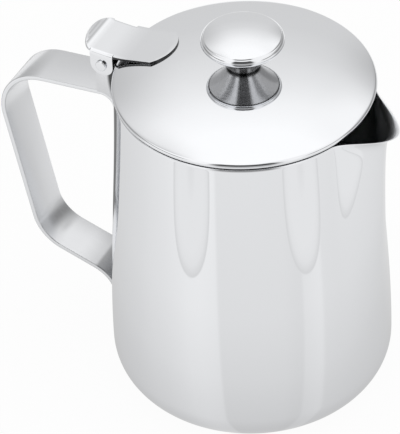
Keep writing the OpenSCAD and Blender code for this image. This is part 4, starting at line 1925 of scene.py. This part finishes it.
@dataclass
class Studio:
    """Pale floor in a soft white tent with two softboxes, and the dark room behind the camera.

    Turns are measured from the camera's side, to the right positive, and distances from the jug's axis.
    The tones of the floor are those that polished metal sees. Each stop is (place, tone or share).

    Attributes:
        camera: Camera whose side the turns are measured from.
        sky: Tone of the tent by elevation.
        sky_top: Elevation at the end of the tent's stops.
        panels: Lighter and darker parts of the tent's wall.
        near_floor: Tone of the near floor by distance, darker near the jug as a painted shadow.
        near_span: Distance over which the near floor's stops are spread.
        sweep: Factor on the near floor by turn about a point ahead of the jug.
        sweep_ahead: Distance of that point.
        gap: Strength of the narrow painted shadow behind the handle, by turn about the same point.
        gap_starts: Distances at which the strip starts and is full.
        wide_gap: Strength of the wide shade behind the jug, by turn about the same point.
        wide_gap_starts: Distances at which the shade starts and is full.
        gap_tone: Tone of the strip and the shade.
        lamps: Distance and turn of each lamp's gloss on the floor.
        lamp_tone: Tone of the gloss.
        lamp_rim: Factor on the gloss by distance from its middle.
        lamp_span: Distance over which the gloss's stops are spread.
        lamp_edge: Distances from its middle at which the gloss ends and is full.
        far_floor: Tone of the far floor by turn.
        far_starts: Distances at which the far floor starts and is full.
        floor_tone: Colour of the paper.
        floor_glow: Share of the paper's own glow in the soft light on the jug.
        white_share: Share of glow in what the camera sees of the paper; the rest of it shows the shadow.
        floor_width: Width of the paper.
        floor_drop: Depth of the paper below the base.
    """

    camera: PhotoCamera
    sky: Sequence[Point] = (
        (0.0, 0.71), (20.0, 0.73), (32.0, 0.79), (42.0, 0.91), (52.0, 1.05), (64.0, 1.14), (90.0, 1.16),
    )
    sky_top: float = 90.0
    panels: Sequence[Panel] = PANELS
    near_floor: Sequence[Point] = (
        (55.0, 0.62), (70.0, 0.69), (82.0, 0.72), (100.0, 0.765), (125.0, 0.80), (150.0, 0.83), (200.0, 0.85),
        (240.0, 0.87),
    )
    near_span: float = 300.0
    sweep: Sequence[Point] = (
        (-180.0, 1.22), (-163.0, 1.16), (-144.5, 0.88), (-136.0, 0.88), (-129.0, 0.90), (-113.0, 0.94),
        (-100.0, 0.97), (-89.0, 1.01), (-77.0, 1.04), (-66.0, 1.08), (-56.0, 1.12), (-45.0, 1.13),
        (-34.0, 1.11), (-31.0, 1.10), (-28.5, 1.0), (28.0, 1.0), (39.0, 0.98), (44.0, 0.98), (46.5, 1.045),
        (60.0, 1.09), (62.0, 1.07), (64.0, 1.01), (86.0, 0.99), (101.0, 0.975), (125.0, 0.94), (145.0, 0.97),
        (160.0, 1.03), (168.0, 1.18), (180.0, 1.22),
    )
    sweep_ahead: float = 38.0
    gap: Sequence[Point] = ((-158.0, 0.0), (-154.0, 1.0), (-143.2, 1.0), (-141.8, 0.0))
    gap_starts: Point = (108.0, 120.0)
    wide_gap: Sequence[Point] = (
        (-180.0, 0.55), (-143.2, 0.55), (-141.8, 0.0), (125.0, 0.0), (145.0, 0.55), (180.0, 0.55),
    )
    wide_gap_starts: Point = (160.0, 215.0)
    gap_tone: float = 0.2
    lamps: Sequence[Point] = ((230.0, -44.0), (231.0, 41.5))
    lamp_tone: float = 0.90
    lamp_rim: Sequence[Point] = (
        (0.0, 0.94), (8.0, 0.965), (16.0, 1.0), (42.0, 1.0), (51.0, 0.97), (56.5, 0.885), (58.7, 0.83),
        (60.0, 1.0), (63.0, 1.0),
    )
    lamp_span: float = 100.0
    lamp_edge: Point = (60.0, 58.5)
    far_floor: Sequence[Point] = (
        (-180.0, 1.0), (-150.0, 1.0), (-130.0, 0.62), (-95.0, 0.62), (-80.0, 0.95), (-32.0, 0.95),
        (-20.0, 0.42), (18.0, 0.42), (30.0, 0.95), (80.0, 0.92), (95.0, 0.6), (125.0, 0.6), (145.0, 1.0),
        (180.0, 1.0),
    )
    far_starts: Point = (240.0, 340.0)
    floor_tone: float = 0.92
    floor_glow: float = 0.30
    white_share: float = 0.95
    floor_width: float = 6000.0
    floor_drop: float = 0.2

    def build_world(self) -> None:
        """Lights the jug with the tent, which is plain white to the camera."""
        world = bpy.data.worlds.new("light_tent")
        bpy.context.scene.world = world
        world.use_nodes = True
        tree = world.node_tree
        tree.nodes.clear()
        desk = NodeDesk(tree)
        way = tree.nodes.new("ShaderNodeTexCoord").outputs["Generated"]
        split = tree.nodes.new("ShaderNodeSeparateXYZ")
        desk.feed(split.inputs["Vector"], way)
        rise = desk.math("ARCSINE", split.outputs["Z"])
        flat = desk.vector("MULTIPLY", way, (1.0, 1.0, 0.0)).outputs["Vector"]
        level = desk.vector("NORMALIZE", flat).outputs["Vector"]
        tone = desk.ramp(desk.math("DEGREES", rise), self.sky, 0.0, self.sky_top)
        for panel in self.panels:
            tone = desk.mix(panel.mask(desk, level, rise, self.camera.azimuth), tone, panel.tone)
        tent = tree.nodes.new("ShaderNodeBackground")
        desk.feed(tent.inputs["Color"], tone)
        white = tree.nodes.new("ShaderNodeBackground")
        white.inputs["Color"].default_value = (1.0, 1.0, 1.0, 1.0)
        choose = tree.nodes.new("ShaderNodeMixShader")
        desk.feed(choose.inputs[0], tree.nodes.new("ShaderNodeLightPath").outputs["Is Camera Ray"])
        desk.feed(choose.inputs[1], tent.outputs[0])
        desk.feed(choose.inputs[2], white.outputs[0])
        desk.feed(tree.nodes.new("ShaderNodeOutputWorld").inputs["Surface"], choose.outputs[0])

    def floor_shine(self, desk: NodeDesk) -> bpy.types.NodeSocket:
        """Wires what polished metal sees of the floor: the lit paper with its painted shadows and the gloss
        of the two lamps.

        Args:
            desk: Where to wire it.

        Returns:
            The tone's socket.
        """
        place = desk.tree.nodes.new("ShaderNodeTexCoord").outputs["Object"]
        front = math.radians(self.camera.azimuth)
        ahead = desk.vector("DOT_PRODUCT", place, (math.sin(front), -math.cos(front), 0.0)).outputs["Value"]
        aside = desk.vector("DOT_PRODUCT", place, (math.cos(front), math.sin(front), 0.0)).outputs["Value"]
        from_foot = desk.math("SUBTRACT", ahead, self.sweep_ahead * MM)
        turn = desk.math("DEGREES", desk.math("ARCTAN2", aside, from_foot))
        away = desk.math("DIVIDE", desk.vector("LENGTH", place).outputs["Value"], MM)
        by_distance = desk.ramp(away, self.near_floor, 0.0, self.near_span)
        near = desk.math("MULTIPLY", by_distance, desk.around(turn, self.sweep))
        gaps = [
            desk.math("MULTIPLY", desk.around(turn, stops), desk.step(away, *starts))
            for stops, starts in ((self.gap, self.gap_starts), (self.wide_gap, self.wide_gap_starts))
        ]
        near = desk.mix(desk.math("MAXIMUM", *gaps), near, self.gap_tone)
        for distance, side in self.lamps:
            way = front + math.radians(side)
            middle = (math.sin(way) * distance * MM, -math.cos(way) * distance * MM, 0.0)
            off = desk.math("DIVIDE", desk.vector("DISTANCE", place, middle).outputs["Value"], MM)
            rim = desk.ramp(off, self.lamp_rim, 0.0, self.lamp_span)
            gloss = desk.math("MULTIPLY", rim, self.lamp_tone)
            near = desk.mix(desk.step(off, *self.lamp_edge), near, gloss)
        about = desk.math("DEGREES", desk.math("ARCTAN2", aside, ahead))
        return desk.mix(desk.step(away, *self.far_starts), near, desk.around(about, self.far_floor))

    def build_floor(self) -> None:
        """Lays the floor, white to the camera but for a faint shadow."""
        bpy.ops.object.select_all(action="DESELECT")
        place = (0.0, 0.0, -self.floor_drop * MM)
        bpy.ops.mesh.primitive_plane_add(size=self.floor_width * MM, location=place)
        floor = bpy.context.object
        floor.name = floor.data.name = "studio_floor"
        paper = bpy.data.materials.new("white_paper")
        paper.use_nodes = True
        tree = paper.node_tree
        tree.nodes.clear()
        desk = NodeDesk(tree)
        matte = tree.nodes.new("ShaderNodeBsdfDiffuse")
        matte.inputs["Color"].default_value = (self.floor_tone, self.floor_tone, self.floor_tone, 1.0)
        glow = tree.nodes.new("ShaderNodeEmission")
        rays = tree.nodes.new("ShaderNodeLightPath")
        glossy = rays.outputs["Is Glossy Ray"]
        desk.feed(glow.inputs["Color"], desk.mix(glossy, 1.0, self.floor_shine(desk)))
        unseen = desk.mix(glossy, self.floor_glow, 1.0)
        share = desk.mix(rays.outputs["Is Camera Ray"], unseen, self.white_share)
        mix = tree.nodes.new("ShaderNodeMixShader")
        desk.feed(mix.inputs[0], share)
        desk.feed(mix.inputs[1], matte.outputs[0])
        desk.feed(mix.inputs[2], glow.outputs[0])
        desk.feed(tree.nodes.new("ShaderNodeOutputMaterial").inputs["Surface"], mix.outputs[0])
        floor.data.materials.append(paper)

    def build(self) -> None:
        """Sets the light, the floor and the picture's tone."""
        bpy.context.scene.view_settings.view_transform = "Standard"
        self.build_world()
        self.build_floor()
        log.info("studio ready")


def main() -> None:
    """Builds every sub-assembly, the camera and the studio."""
    logging.basicConfig(level=logging.INFO, format="%(name)s %(message)s")
    jug = JugBody()
    strap = StrapHandle(jug)
    hinge = LidHinge(strap)
    lid = DomedLid(jug)
    for assembly in (jug, strap, hinge, lid, ThumbPlate(lid, hinge), MushroomKnob(lid)):
        assembly.build()
        log.info("built %s", type(assembly).__name__)
    camera = PhotoCamera()
    camera.build()
    Studio(camera).build()


if __name__ == "__main__":
    main()
